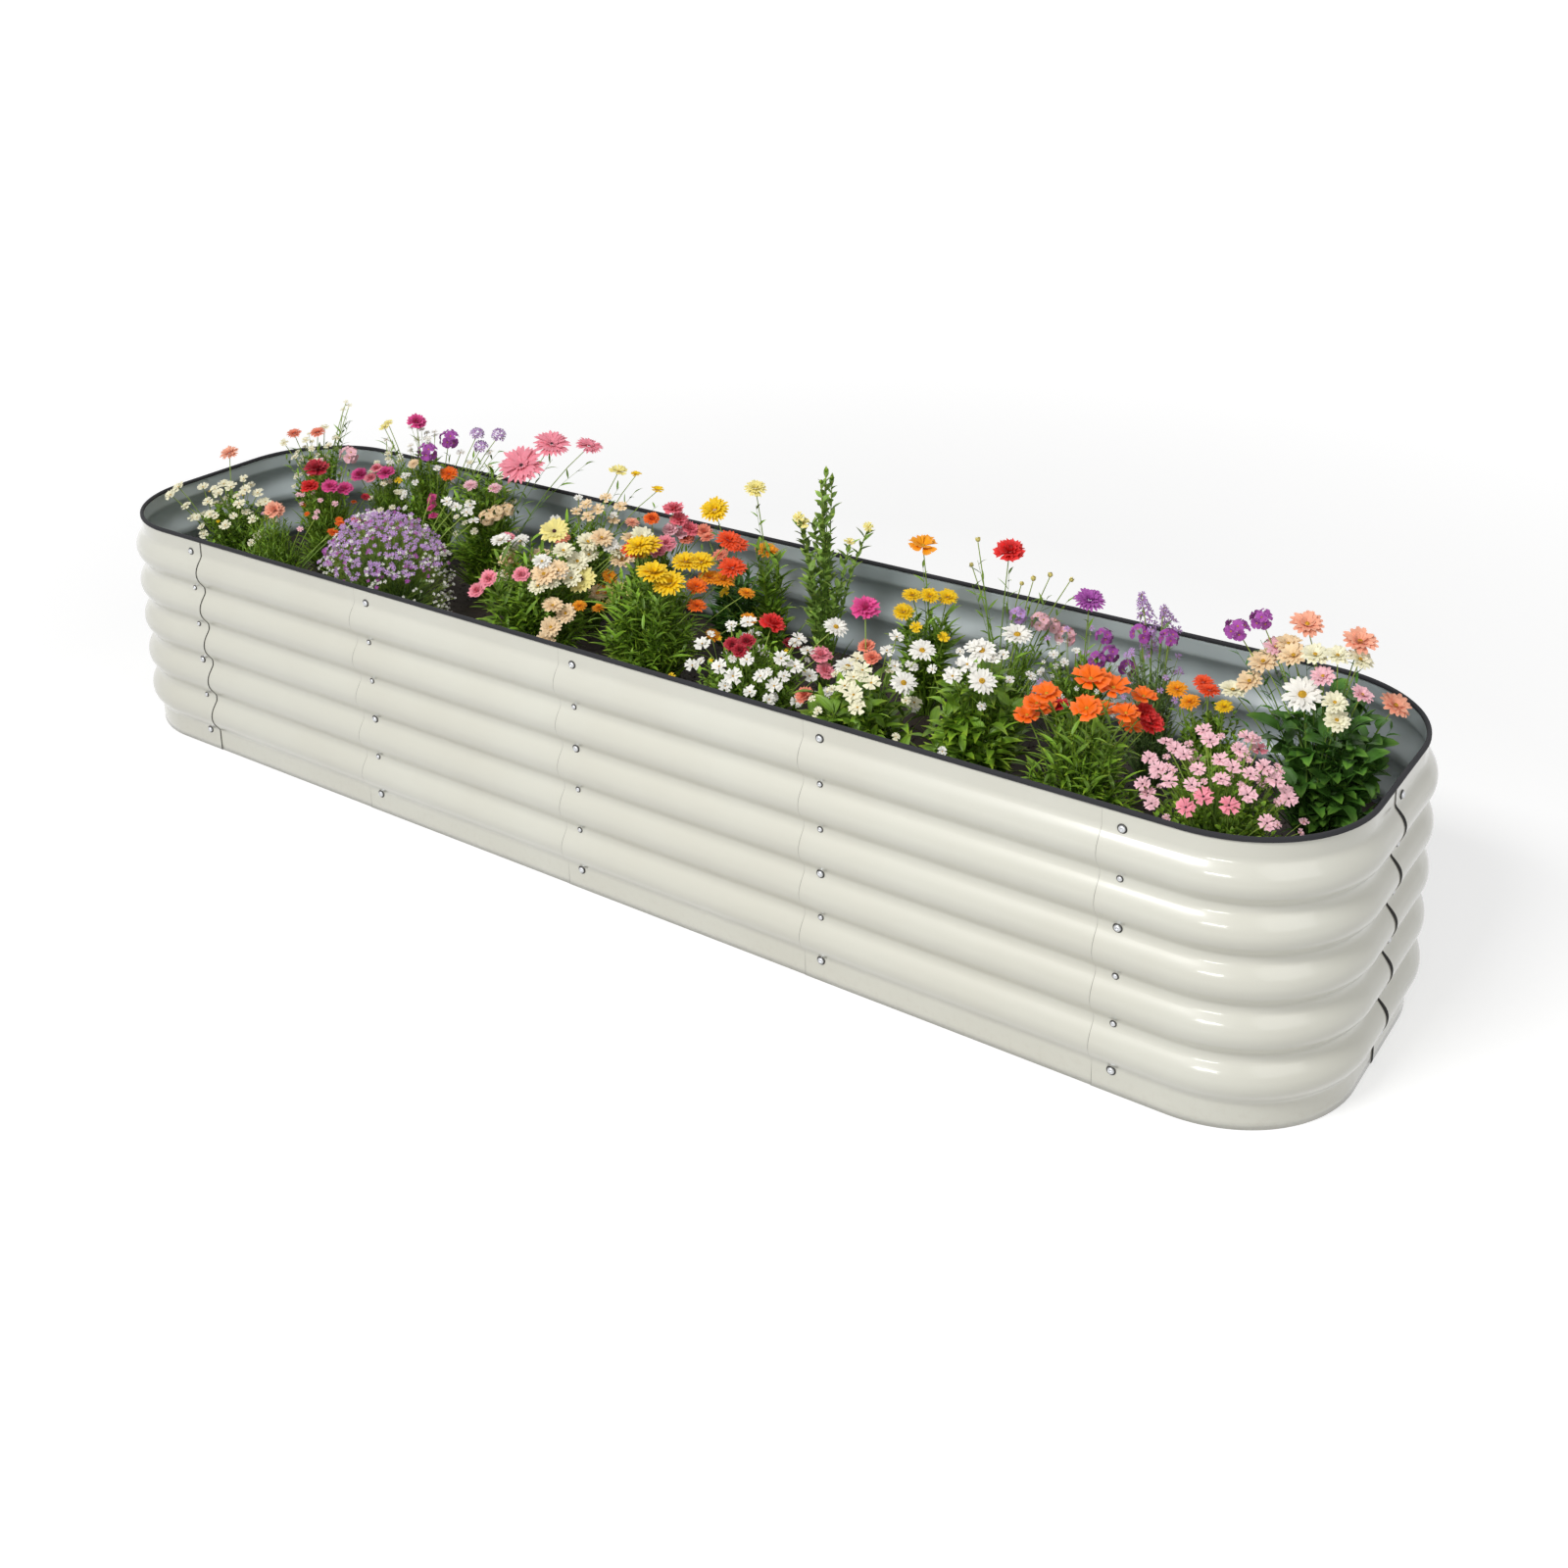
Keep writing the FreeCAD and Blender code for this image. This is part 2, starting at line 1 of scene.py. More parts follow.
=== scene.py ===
import json
import math
from collections import namedtuple

import bmesh
import bpy
import numpy as np
from bpy.props import FloatProperty, FloatVectorProperty, IntProperty, PointerProperty
from mathutils import Matrix, Vector, noise


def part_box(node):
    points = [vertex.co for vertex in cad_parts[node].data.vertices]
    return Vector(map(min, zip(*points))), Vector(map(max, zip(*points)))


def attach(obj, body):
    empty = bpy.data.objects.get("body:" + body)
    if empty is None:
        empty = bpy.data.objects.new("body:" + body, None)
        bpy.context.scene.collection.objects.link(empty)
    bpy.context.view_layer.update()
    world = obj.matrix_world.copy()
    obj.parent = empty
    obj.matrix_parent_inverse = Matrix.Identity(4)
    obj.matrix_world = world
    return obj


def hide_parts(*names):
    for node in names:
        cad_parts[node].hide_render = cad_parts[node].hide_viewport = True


bl_info = {
    "name": "Raised Garden Bed",
    "version": (1, 0, 0),
    "blender": (4, 5, 0),
    "location": "View3D > Sidebar > Garden Bed",
    "description": "Builds the looks of a planted raised garden bed of corrugated steel",
    "category": "Add Mesh",
}

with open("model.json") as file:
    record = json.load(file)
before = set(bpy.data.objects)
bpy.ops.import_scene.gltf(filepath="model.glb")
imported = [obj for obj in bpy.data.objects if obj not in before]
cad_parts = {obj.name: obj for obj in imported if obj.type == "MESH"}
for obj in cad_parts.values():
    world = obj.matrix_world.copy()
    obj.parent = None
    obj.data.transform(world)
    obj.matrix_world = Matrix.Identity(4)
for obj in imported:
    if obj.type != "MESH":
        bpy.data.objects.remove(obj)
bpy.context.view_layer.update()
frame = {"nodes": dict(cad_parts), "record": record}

# ----- Settings -----


def number(name, description, default, **options):
    return FloatProperty(name=name, description=description, default=default, **options)


def length(name, description, metres):
    return number(name, description, metres, min=0.0, precision=4, unit="LENGTH")


def angle(name, description, degrees):
    return number(name, description, math.radians(degrees), subtype="ANGLE")


def power(name, description, watts):
    return number(name, description, watts, unit="POWER")


def colour(name, description, default):
    return FloatVectorProperty(
        name=name, description=description, default=default, size=3, min=0.0, max=1.0,
        subtype="COLOR",
    )


class SheetSizes(bpy.types.PropertyGroup):
    thickness: length("Sheet", "Thickness of the coated steel", 0.0006)
    lap_gap: length("Lap gap", "Gap between two lapped sheets", 0.0003)
    wave_depth: length("Wave depth", "Valley to crest", 0.016)
    wave_pitch: length("Wave pitch", "Height of one wave", 0.0732)
    valley_flat: length("Valley flat", "Flat strip where the bolts sit", 0.009)
    first_valley: length("First valley", "Ground to the lowest row of bolts", 0.036)
    corner_radius: length("Corner radius", "Radius of the valley line", 0.190)
    corner_tail: length("Corner tail", "Straight from a corner's bend to its seam", 0.0788)
    lap_width: length("Lap", "How far two neighbours lap", 0.058)
    wobble: length("Wobble", "How far the rolled sheet wanders from its true line", 0.00035)
    # The first two are widths of a near-black strip painted on the face of a lapping sheet's end: a
    # painted shadow of the gap along the lap. The third is a fine grey painted shade line.
    end_gap_shadow: length("End gap", "Dark line along the lap in the middle of each end", 0.0095)
    side_gap_shadow: length("Side gap", "Dark line along the first lap of a long side", 0.0024)
    lap_shade_line: length("Lap line", "Fine line along the other laps", 0.0009)
    rim_height: length("Rim height", "Height of the rubber edging", 0.0066)


class Finishes(bpy.types.PropertyGroup):
    enamel: colour("Enamel", "Ivory coating on the outside", (0.690, 0.684, 0.600))
    enamel_shade: colour("Enamel shade", "Warmer drift in the ivory coating", (0.655, 0.642, 0.555))
    lining: colour("Lining", "Blue-grey coating on the inside", (0.512, 0.570, 0.576))
    lining_shade: colour("Lining shade", "Darker drift in the lining", (0.371, 0.429, 0.442))
    dust: colour("Dust", "Soil dust splashed on the lowest wave", (0.420, 0.350, 0.260))
    rubber: colour("Rubber", "Edging on the rim", (0.007, 0.007, 0.008))
    steel: colour("Steel", "Zinc plated bolts, nuts and rods", (0.560, 0.560, 0.550))
    # The dark tone also lies where the soil's fine relief is low, and the light tone where it is
    # raised.
    soil_dark: colour("Wet soil", "Potting soil in its hollows", (0.006, 0.004, 0.003))
    soil_light: colour("Dry soil", "Potting soil on its crumbs", (0.050, 0.027, 0.017))
    bark: colour("Bark", "Chips of bark in the soil", (0.240, 0.130, 0.075))


class PetalColours(bpy.types.PropertyGroup):
    white: colour("White", "Verbena, stocks and daisies", (0.950, 0.930, 0.860))
    cream: colour("Cream", "Violas", (0.940, 0.900, 0.660))
    peach: colour("Peach", "Soft daisies and dahlias", (0.950, 0.720, 0.440))
    pale_yellow: colour("Pale yellow", "Large daisies", (0.950, 0.840, 0.300))
    yellow: colour("Yellow", "Mums", (0.970, 0.640, 0.004))
    golden: colour("Golden", "Orange-yellow daisies", (0.970, 0.370, 0.004))
    orange: colour("Orange", "Poppies and marigolds", (0.960, 0.165, 0.004))
    vermilion: colour("Vermilion", "Zinnias", (0.910, 0.085, 0.012))
    red: colour("Red", "Ranunculus", (0.800, 0.020, 0.018))
    dark_red: colour("Dark red", "Carnations", (0.480, 0.010, 0.030))
    coral: colour("Coral", "Tall coral heads", (0.930, 0.290, 0.180))
    salmon: colour("Salmon", "Dahlias and cushions", (0.960, 0.440, 0.290))
    blush: colour("Blush", "Pale pink heads", (0.950, 0.560, 0.620))
    pink: colour("Pink", "Gerberas and verbena", (0.950, 0.310, 0.390))
    rose: colour("Rose", "Clustered roses", (0.900, 0.190, 0.250))
    magenta: colour("Magenta", "Pinks", (0.790, 0.070, 0.300))
    purple: colour("Purple", "Scabious and phlox", (0.420, 0.090, 0.420))
    lilac: colour("Lilac", "Lavender mound and spikes", (0.560, 0.330, 0.680))


class Greens(bpy.types.PropertyGroup):
    fresh: colour("Fresh", "Grassy and young leaves", (0.190, 0.355, 0.028))
    deep: colour("Deep", "Full-grown leaves", (0.080, 0.220, 0.030))
    dusty: colour("Dusty", "Grey-green leaves", (0.180, 0.300, 0.090))
    stem: colour("Stem", "Flower stems", (0.260, 0.430, 0.080))
    seed: IntProperty(name="Seed", description="Which garden grows", default=7, min=0)


class Studio(bpy.types.PropertyGroup):
    camera_place: FloatVectorProperty(
        name="Camera", description="Where the camera stands", default=(1.7778, -2.3004, 1.6061),
        size=3, subtype="TRANSLATION", unit="LENGTH",
    )
    camera_bearing: angle("Bearing", "How far round to the right the camera stands", 36.254)
    camera_height: angle("Height angle", "How steeply the camera looks down", 16.734)
    camera_roll: angle("Roll", "Turn of the picture", -1.299)
    lens: number("Lens", "Focal length in mm", 42.14, unit="CAMERA")
    shift_right: number("Shift right", "Shift of the lens to the right", 0.0403)
    shift_up: number("Shift up", "Upward shift of the lens", -0.2327)
    sky: number("Sky", "Strength of the even light", 0.36)
    key: power("Key lamp", "Main lamp", 142.0)
    streak: power("Streak lamp", "Small low lamp that the corner reflects", 7.0)
    fill: power("Fill lamp", "Second lamp", 12.0)
    ground_glow: number("Ground glow", "How much paler the floor looks than it is", 0.56)
    far_glow: number("Far glow", "The same, far from the bed", 0.84)
    ground: colour("Ground", "Pale floor", (0.600, 0.600, 0.598))


class GardenBed(bpy.types.PropertyGroup):
    sheets: PointerProperty(type=SheetSizes)
    finishes: PointerProperty(type=Finishes)
    petals: PointerProperty(type=PetalColours)
    greens: PointerProperty(type=Greens)
    studio: PointerProperty(type=Studio)


def settings():
    return bpy.context.scene.garden_bed


# Side of the square picture in pixels, and width of the camera's sensor in millimetres.
PHOTO_SIDE = 1600
SENSOR = 36.0

# ----- Shared effects and materials -----


def new_group(name, inputs, outputs):
    """Empty shader group with its inputs and outputs, and its two end nodes."""
    tree = bpy.data.node_groups.new(name, "ShaderNodeTree")
    for label, kind, default in inputs:
        socket = tree.interface.new_socket(name=label, in_out="INPUT", socket_type=kind)
        socket.default_value = default
    for label, kind in outputs:
        tree.interface.new_socket(name=label, in_out="OUTPUT", socket_type=kind)
    return tree, tree.nodes.new("NodeGroupInput"), tree.nodes.new("NodeGroupOutput")


def math_node(tree, operation, first, second=None, clamp=False):
    """Output of a Math node; each value is a number or another node's output."""
    node = tree.nodes.new("ShaderNodeMath")
    node.operation = operation
    node.use_clamp = clamp
    for socket, value in zip(node.inputs, (first, second)):
        if isinstance(value, (int, float)):
            socket.default_value = value
        elif value is not None:
            tree.links.new(value, socket)
    return node.outputs[0]


def mix_colour(tree, factor, first, second):
    """Colour between two, by a factor; each is a value or another node's output."""
    node = tree.nodes.new("ShaderNodeMix")
    node.data_type = "RGBA"
    node.clamp_factor = True
    for name, value in (("Factor_Float", factor), ("A_Color", first), ("B_Color", second)):
        socket = next(s for s in node.inputs if s.identifier == name)
        if hasattr(value, "is_output"):
            tree.links.new(value, socket)
        elif name == "Factor_Float":
            socket.default_value = value
        else:
            socket.default_value = (*value[:3], 1.0)
    return next(s for s in node.outputs if s.identifier == "Result_Color")


def noise_node(tree, vector, scale, detail, roughness=0.5):
    """Cloudy noise over a surface; its scale is a number or another node's output."""
    node = tree.nodes.new("ShaderNodeTexNoise")
    node.inputs["Detail"].default_value = detail
    node.inputs["Roughness"].default_value = roughness
    if isinstance(scale, (int, float)):
        node.inputs["Scale"].default_value = scale
    else:
        tree.links.new(scale, node.inputs["Scale"])
    tree.links.new(vector, node.inputs["Vector"])
    return node.outputs["Fac"]


def remap(tree, value, low, high, new_low=0.0, new_high=1.0):
    """A value's range brought to a new one, and held within it."""
    node = tree.nodes.new("ShaderNodeMapRange")
    node.clamp = True
    tree.links.new(value, node.inputs["Value"])
    for name, number in (
        ("From Min", low), ("From Max", high), ("To Min", new_low), ("To Max", new_high),
    ):
        node.inputs[name].default_value = number
    return node.outputs["Result"]


def object_place(tree):
    """Place on the object, in metres."""
    return tree.nodes.new("ShaderNodeTexCoord").outputs["Object"]


CLOUD_RANGE = (0.36, 0.66)


def drift_group():
    """Slow cloudy drift and fine grain of a coating or a cast surface."""
    tree, start, end = new_group(
        "Drift",
        [("Cloud Scale", "NodeSocketFloat", 4.0), ("Grain Scale", "NodeSocketFloat", 400.0)],
        [("Cloud", "NodeSocketFloat"), ("Grain", "NodeSocketFloat")],
    )
    place = object_place(tree)
    cloud = noise_node(tree, place, start.outputs["Cloud Scale"], 4.0)
    grain = noise_node(tree, place, start.outputs["Grain Scale"], 2.0)
    tree.links.new(remap(tree, cloud, *CLOUD_RANGE), end.inputs["Cloud"])
    tree.links.new(grain, end.inputs["Grain"])
    return tree


SPECK_SCALE, SPECK_DETAIL, SPECK_ROUGHNESS = 90.0, 6.0, 0.7
SPECK_RANGE = (0.50, 0.72)
SPLASH_FADE = 1.6


def splash_group():
    """Soil splashed low on the outside: strong at the ground, gone above the first wave."""
    tree, start, end = new_group(
        "Splash",
        [("Reach", "NodeSocketFloat", 0.08)],
        [("Mask", "NodeSocketFloat")],
    )
    place = object_place(tree)
    parts = tree.nodes.new("ShaderNodeSeparateXYZ")
    tree.links.new(place, parts.inputs[0])
    low = math_node(
        tree, "SUBTRACT", 1.0, math_node(tree, "DIVIDE", parts.outputs["Z"], start.outputs["Reach"])
    )
    low = math_node(tree, "MAXIMUM", low, 0.0)
    specks = noise_node(tree, place, SPECK_SCALE, SPECK_DETAIL, SPECK_ROUGHNESS)
    specks = remap(tree, specks, *SPECK_RANGE)
    fading = math_node(tree, "POWER", low, SPLASH_FADE)
    mask = math_node(tree, "MULTIPLY", fading, specks, clamp=True)
    tree.links.new(mask, end.inputs["Mask"])
    return tree


GROWTH_MARK = "growth"


def growth_parts(tree):
    """What each leaf and petal carries: along it, across it, and a number of its own."""
    mark = tree.nodes.new("ShaderNodeAttribute")
    mark.attribute_name = GROWTH_MARK
    parts = tree.nodes.new("ShaderNodeSeparateColor")
    tree.links.new(mark.outputs["Color"], parts.inputs[0])
    return parts.outputs["Red"], parts.outputs["Green"], parts.outputs["Blue"]


# How far up a leaf or petal its base colour reaches, where its tip's colour starts, and the least
# beat of the wave across it that shows as a vein.
BASE_REACH = 0.38
TIP_START = 0.62
VEIN_EDGE = 0.2


def vein_group():
    """Colour of a leaf or petal from its base to its tip, with veins and its own shade."""
    tree, start, end = new_group(
        "Veins",
        [
            ("Base", "NodeSocketColor", (0.5, 0.5, 0.5, 1.0)),
            ("Body", "NodeSocketColor", (0.5, 0.5, 0.5, 1.0)),
            ("Tip", "NodeSocketColor", (0.5, 0.5, 0.5, 1.0)),
            ("Vein Count", "NodeSocketFloat", 7.0),
            ("Vein Depth", "NodeSocketFloat", 0.25),
            ("Spread", "NodeSocketFloat", 0.25),
        ],
        [("Color", "NodeSocketColor"), ("Veins", "NodeSocketFloat")],
    )
    along, across, own = growth_parts(tree)
    leaving_base = remap(tree, along, 0.0, BASE_REACH)
    body = mix_colour(tree, leaving_base, start.outputs["Base"], start.outputs["Body"])
    body = mix_colour(tree, remap(tree, along, TIP_START, 1.0), body, start.outputs["Tip"])
    beat = math_node(tree, "MULTIPLY", across, start.outputs["Vein Count"])
    beat = math_node(tree, "MULTIPLY", beat, 2 * math.pi)
    veins = remap(tree, math_node(tree, "COSINE", beat), VEIN_EDGE, 1.0)
    depth = math_node(tree, "MULTIPLY", veins, start.outputs["Vein Depth"])
    body = mix_colour(tree, depth, body, start.outputs["Base"])
    shade = math_node(tree, "MULTIPLY", math_node(tree, "SUBTRACT", own, 0.5), 2.0)
    shade = math_node(tree, "MULTIPLY", shade, start.outputs["Spread"])
    value = tree.nodes.new("ShaderNodeHueSaturation")
    tree.links.new(math_node(tree, "ADD", shade, 1.0), value.inputs["Value"])
    tree.links.new(body, value.inputs["Color"])
    tree.links.new(value.outputs["Color"], end.inputs["Color"])
    tree.links.new(veins, end.inputs["Veins"])
    return tree


GROUP_MAKERS = {"Drift": drift_group, "Splash": splash_group, "Veins": vein_group}


def place_group(tree, name, **values):
    """A shared effect in a material, built the first time it is asked for."""
    node = tree.nodes.new("ShaderNodeGroup")
    node.node_tree = bpy.data.node_groups.get(name) or GROUP_MAKERS[name]()
    for label, value in values.items():
        socket = node.inputs[label.replace("_", " ")]
        socket.default_value = (*value, 1.0) if hasattr(value, "__len__") else value
    return node


def new_material(name, roughness, **constants):
    """Material with a Principled surface whose steady values are set on its own sockets."""
    material = bpy.data.materials.new(name)
    material.use_nodes = True
    surface = material.node_tree.nodes["Principled BSDF"]
    surface.inputs["Roughness"].default_value = roughness
    for label, value in constants.items():
        surface.inputs[label.replace("_", " ")].default_value = value
    return material, material.node_tree, surface


def bump(tree, surface, height, distance, strength):
    """Fine relief on a surface, from a height between 0 and 1."""
    node = tree.nodes.new("ShaderNodeBump")
    node.inputs["Distance"].default_value = distance
    node.inputs["Strength"].default_value = strength
    tree.links.new(height, node.inputs["Height"])
    tree.links.new(node.outputs["Normal"], surface.inputs["Normal"])


SHEET_SCALES = (3.5, 260.0)
SHEET_GRAIN = (0.00004, 0.6)
SPLASH_REACH = 0.075
SPLASH_STRENGTH = 0.20
# Grainy middles of flowers.
MIDDLES = {"pollen": (0.750, 0.420, 0.020), "seeds": (0.060, 0.012, 0.016)}


def shaded(tint, factor):
    return tuple(channel * factor for channel in tint)


def drifting_material(name, light, dark, scales, roughness, gloss=None, grain=None, dusty=False,
                      **constants):
    """Surface whose colour drifts from a light to a dark tone.

    Scales are those of the drift and of the fine grain, gloss is the lowest and the highest
    roughness, and grain is the depth and the strength of the bumps.
    """
    material, tree, surface = new_material(name, roughness, **constants)
    drift = place_group(tree, "Drift", Cloud_Scale=scales[0], Grain_Scale=scales[1])
    tint = mix_colour(tree, drift.outputs["Cloud"], light, dark)
    if dusty:
        splash = place_group(tree, "Splash", Reach=SPLASH_REACH)
        mask = math_node(tree, "MULTIPLY", splash.outputs["Mask"], SPLASH_STRENGTH)
        tint = mix_colour(tree, mask, tint, settings().finishes.dust)
    tree.links.new(tint, surface.inputs["Base Color"])
    if gloss:
        uneven = remap(tree, drift.outputs["Cloud"], 0.0, 1.0, *gloss)
        tree.links.new(uneven, surface.inputs["Roughness"])
    if grain:
        bump(tree, surface, drift.outputs["Grain"], *grain)
    return material


def hard_finishes():
    """What each sheet, rubber, steel and grainy surface passes to drifting_material."""
    finish = settings().finishes
    finishes = {
        # Coated sheet with an orange-peel grain, splashed with dust on the outside.
        "ivory_enamel": dict(
            light=finish.enamel, dark=finish.enamel_shade, scales=SHEET_SCALES, roughness=0.33,
            gloss=(0.28, 0.40), grain=SHEET_GRAIN, dusty=True, Coat_Weight=1.0,
            Coat_Roughness=0.10,
        ),
        "grey_lining": dict(
            light=finish.lining, dark=finish.lining_shade, scales=SHEET_SCALES, roughness=0.44,
            gloss=(0.39, 0.51), grain=SHEET_GRAIN, Coat_Weight=0.15, Coat_Roughness=0.10,
        ),
        # Painted shadow: near black on the sheet's face, for the dark gap behind the end of a
        # lapped sheet.
        "lap_gap": dict(
            light=(0.010, 0.010, 0.010), dark=(0.022, 0.020, 0.018), scales=(20.0, 900.0),
            roughness=0.85,
        ),
        # The thinly coated edge of the cut sheet, and the fine line along a lap, which is a painted
        # shade line in the same colour on the sheet's face.
        "cut_edge": dict(
            light=(0.300, 0.290, 0.260), dark=(0.400, 0.385, 0.340), scales=(30.0, 900.0),
            roughness=0.55, Metallic=0.3,
        ),
        "edge_rubber": dict(
            light=finish.rubber, dark=shaded(finish.rubber, 1.5), scales=(9.0, 700.0),
            roughness=0.24, gloss=(0.16, 0.30), grain=(0.00005, 0.5), Specular_IOR_Level=0.03,
            Coat_Weight=0.20, Coat_Roughness=0.03, Coat_IOR=1.3,
        ),
        # Zinc plated steel: a brushed grain, with a duller bloom in patches.
        "bright_steel": dict(
            light=finish.steel, dark=shaded(finish.steel, 0.62), scales=(160.0, 2200.0),
            roughness=0.25, gloss=(0.16, 0.42), grain=(0.00003, 0.5), Metallic=1.0,
        ),
        # Washers and flanges painted near black: a painted shadow ring round each head.
        "flange_steel": dict(
            light=(0.050, 0.050, 0.048), dark=(0.090, 0.088, 0.084), scales=(200.0, 2200.0),
            roughness=0.5, Metallic=0.8,
        ),
    }
    for name, tint in MIDDLES.items():
        finishes[name] = dict(light=tint, dark=shaded(tint, 0.45), scales=(500.0, 1500.0),
                              roughness=0.8, grain=(0.0006, 1.0))
    return finishes


# Range of the grain over which the soil turns from its dark tone, low in its fine relief, to its
# light tone, how damp the patches are, and which crumbs are chips of bark, by their own number,
# and how strongly.
RAISED_GRAINS = (0.44, 0.66)
DAMP_SHARE = 0.5
BARK_CRUMBS = (0.80, 1.0)
BARK_STRENGTH = 0.9


def soil_material(name):
    """Potting soil, darker where its fine relief is low and in damp patches, with crumbs and chips
    of bark.
    """
    finish = settings().finishes
    material, tree, surface = new_material(name, 0.92)
    drift = place_group(tree, "Drift", Cloud_Scale=28.0, Grain_Scale=420.0)
    _, _, own = growth_parts(tree)
    raised_tone = remap(tree, drift.outputs["Grain"], *RAISED_GRAINS)
    tint = mix_colour(tree, raised_tone, finish.soil_dark, finish.soil_light)
    damp = math_node(tree, "MULTIPLY", drift.outputs["Cloud"], DAMP_SHARE)
    tint = mix_colour(tree, damp, tint, finish.soil_dark)
    chips = remap(tree, own, *BARK_CRUMBS, 0.0, BARK_STRENGTH)
    tint = mix_colour(tree, chips, tint, finish.bark)
    tree.links.new(tint, surface.inputs["Base Color"])
    bump(tree, surface, drift.outputs["Grain"], 0.0015, 0.9)
    return material


def veined_material(name, base, body, tip, veins, relief, roughness, **constants):
    """Leaf or petal, by the count, depth and spread of its veins and the relief they have."""
    material, tree, surface = new_material(name, roughness, **constants)
    count, depth, spread = veins
    group = place_group(tree, "Veins", Base=base, Body=body, Tip=tip, Vein_Count=count,
                        Vein_Depth=depth, Spread=spread)
    tree.links.new(group.outputs["Color"], surface.inputs["Base Color"])
    bump(tree, surface, group.outputs["Veins"], *relief)
    return material


# How dark a leaf or petal is at its base, how much paler at its tip (on a leaf, paler and yellower,
# partly a painted highlight), the count, depth and spread of its veins, and the depth and strength
# of their relief.
LEAF_BASE, PETAL_BASE = 0.60, 0.88
LEAF_TIP_TINT_AND_HIGHLIGHT = (1.9, 1.45, 1.3)
PETAL_TIP_PALER = 0.05
LEAF_VEINS, PETAL_VEINS = (2.0, 0.30, 0.42), (4.0, 0.20, 0.10)
LEAF_RELIEF, PETAL_RELIEF = (0.0004, 0.6), (0.0003, 0.5)


def leaf_material(name, body):
    """Living leaf: darker at its base, lighter at its tip, partly a painted highlight, with a waxy
    shine.
    """
    tip = tuple(min(1.0, channel * paler) for channel, paler in zip(body, LEAF_TIP_TINT_AND_HIGHLIGHT))
    return veined_material(name, shaded(body, LEAF_BASE), body, tip, LEAF_VEINS, LEAF_RELIEF,
                           roughness=0.42, Specular_IOR_Level=0.35)


def petal_material(name, body):
    """Soft petal: deeper at its throat, paler at its tip, finely veined."""
    tip = tuple(channel + (1.0 - channel) * PETAL_TIP_PALER for channel in body)
    return veined_material(name, shaded(body, PETAL_BASE), body, tip, PETAL_VEINS, PETAL_RELIEF,
                           roughness=0.55, Specular_IOR_Level=0.2, Sheen_Weight=0.04)


def material_named(name):
    """Any material of the bed by its name, made the first time it is asked for."""
    known = bpy.data.materials.get(name)
    if known:
        return known
    hard = hard_finishes()
    if name in hard:
        return drifting_material(name, **hard[name])
    if name == "potting_soil":
        return soil_material(name)
    if hasattr(settings().petals, name):
        return petal_material(name, tuple(getattr(settings().petals, name)))
    return leaf_material(name, tuple(getattr(settings().greens, name)))


# ----- Mesh making -----

WELD_REACH = 1e-6
# Keeps a division by a length safe where the length is 0.
SMALL_SHARE = 1e-6
# Close to a full turn, in radians: where a piece may be turned any way.
ANY_TURN = 6.28


def weld(mesh):
    """Join points that fall on one another, such as those round the tip of a dome."""
    draft = bmesh.new()
    draft.from_mesh(mesh)
    bmesh.ops.remove_doubles(draft, verts=draft.verts, dist=WELD_REACH)
    draft.to_mesh(mesh)
    draft.free()


class Shape:
    """Points and faces of one object, gathered piece by piece."""

    def __init__(self):
        self.points = []
        self.marks = []
        self.faces = []
        self.face_materials = []
        self.materials = []
        self.count = 0

    def add(self, points, faces, material, marks=None):
        """Add points (n, 3) with their faces (m, corners) in one material."""
        points = np.asarray(points, float).reshape(-1, 3)
        self.points.append(points)
        self.marks.append(np.full((len(points), 3), 0.5) if marks is None else marks)
        self.cover(np.asarray(faces) + self.count, material)
        self.count += len(points)

    def cover(self, faces, material):
        """Add faces, if there are any, between points that are there or about to be."""
        if len(faces) == 0:
            return
        if material not in self.materials:
            self.materials.append(material)
        self.faces.extend(faces.tolist())
        self.face_materials.extend([self.materials.index(material)] * len(faces))

    def build(self, name):
        mesh = bpy.data.meshes.new(name)
        points = np.concatenate(self.points)
        mesh.from_pydata(points.tolist(), [], self.faces)
        mesh.polygons.foreach_set("material_index", self.face_materials)
        mesh.polygons.foreach_set("use_smooth", [True] * len(self.faces))
        marks = np.ones((len(points), 4), np.float32)
        marks[:, :3] = np.concatenate(self.marks)
        attribute = mesh.attributes.new(GROWTH_MARK, "FLOAT_COLOR", "POINT")
        attribute.data.foreach_set("color", marks.ravel())
        for material in self.materials:
            mesh.materials.append(material_named(material))
        weld(mesh)
        piece = bpy.data.objects.new(name, mesh)
        bpy.context.scene.collection.objects.link(piece)
        return piece


def grid_faces(rows, columns, closed_columns=False):
    """Quads of a grid of points; the columns may close into a ring."""
    row, column = np.meshgrid(
        np.arange(rows - 1), np.arange(columns if closed_columns else columns - 1), indexing="ij"
    )
    after = (column + 1) % columns
    corners = (row * columns + column, row * columns + after,
               (row + 1) * columns + after, (row + 1) * columns + column)
    return np.stack(corners, -1).reshape(-1, 4)


def copied_faces(faces, count, step):
    """The same faces on each of many copies of a shape, whose points follow one another."""
    return (faces[None] + np.arange(count)[:, None, None] * step).reshape(-1, 4)


def unit(vectors):
    """Many vectors, each brought to a length of 1."""
    return vectors / (np.linalg.norm(vectors, axis=-1)[..., None] + SMALL_SHARE)


def finish_piece(piece, slot, *nodes):
    """Hang a piece on the root body and hide the nodes that it stands for. The slot is not used."""
    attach(piece, "root")
    if nodes:
        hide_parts(*nodes)


# ----- Sheets, rim and fasteners -----

WAVES = 5
SIDE_PANELS = 4
BOLT_ROWS = 6
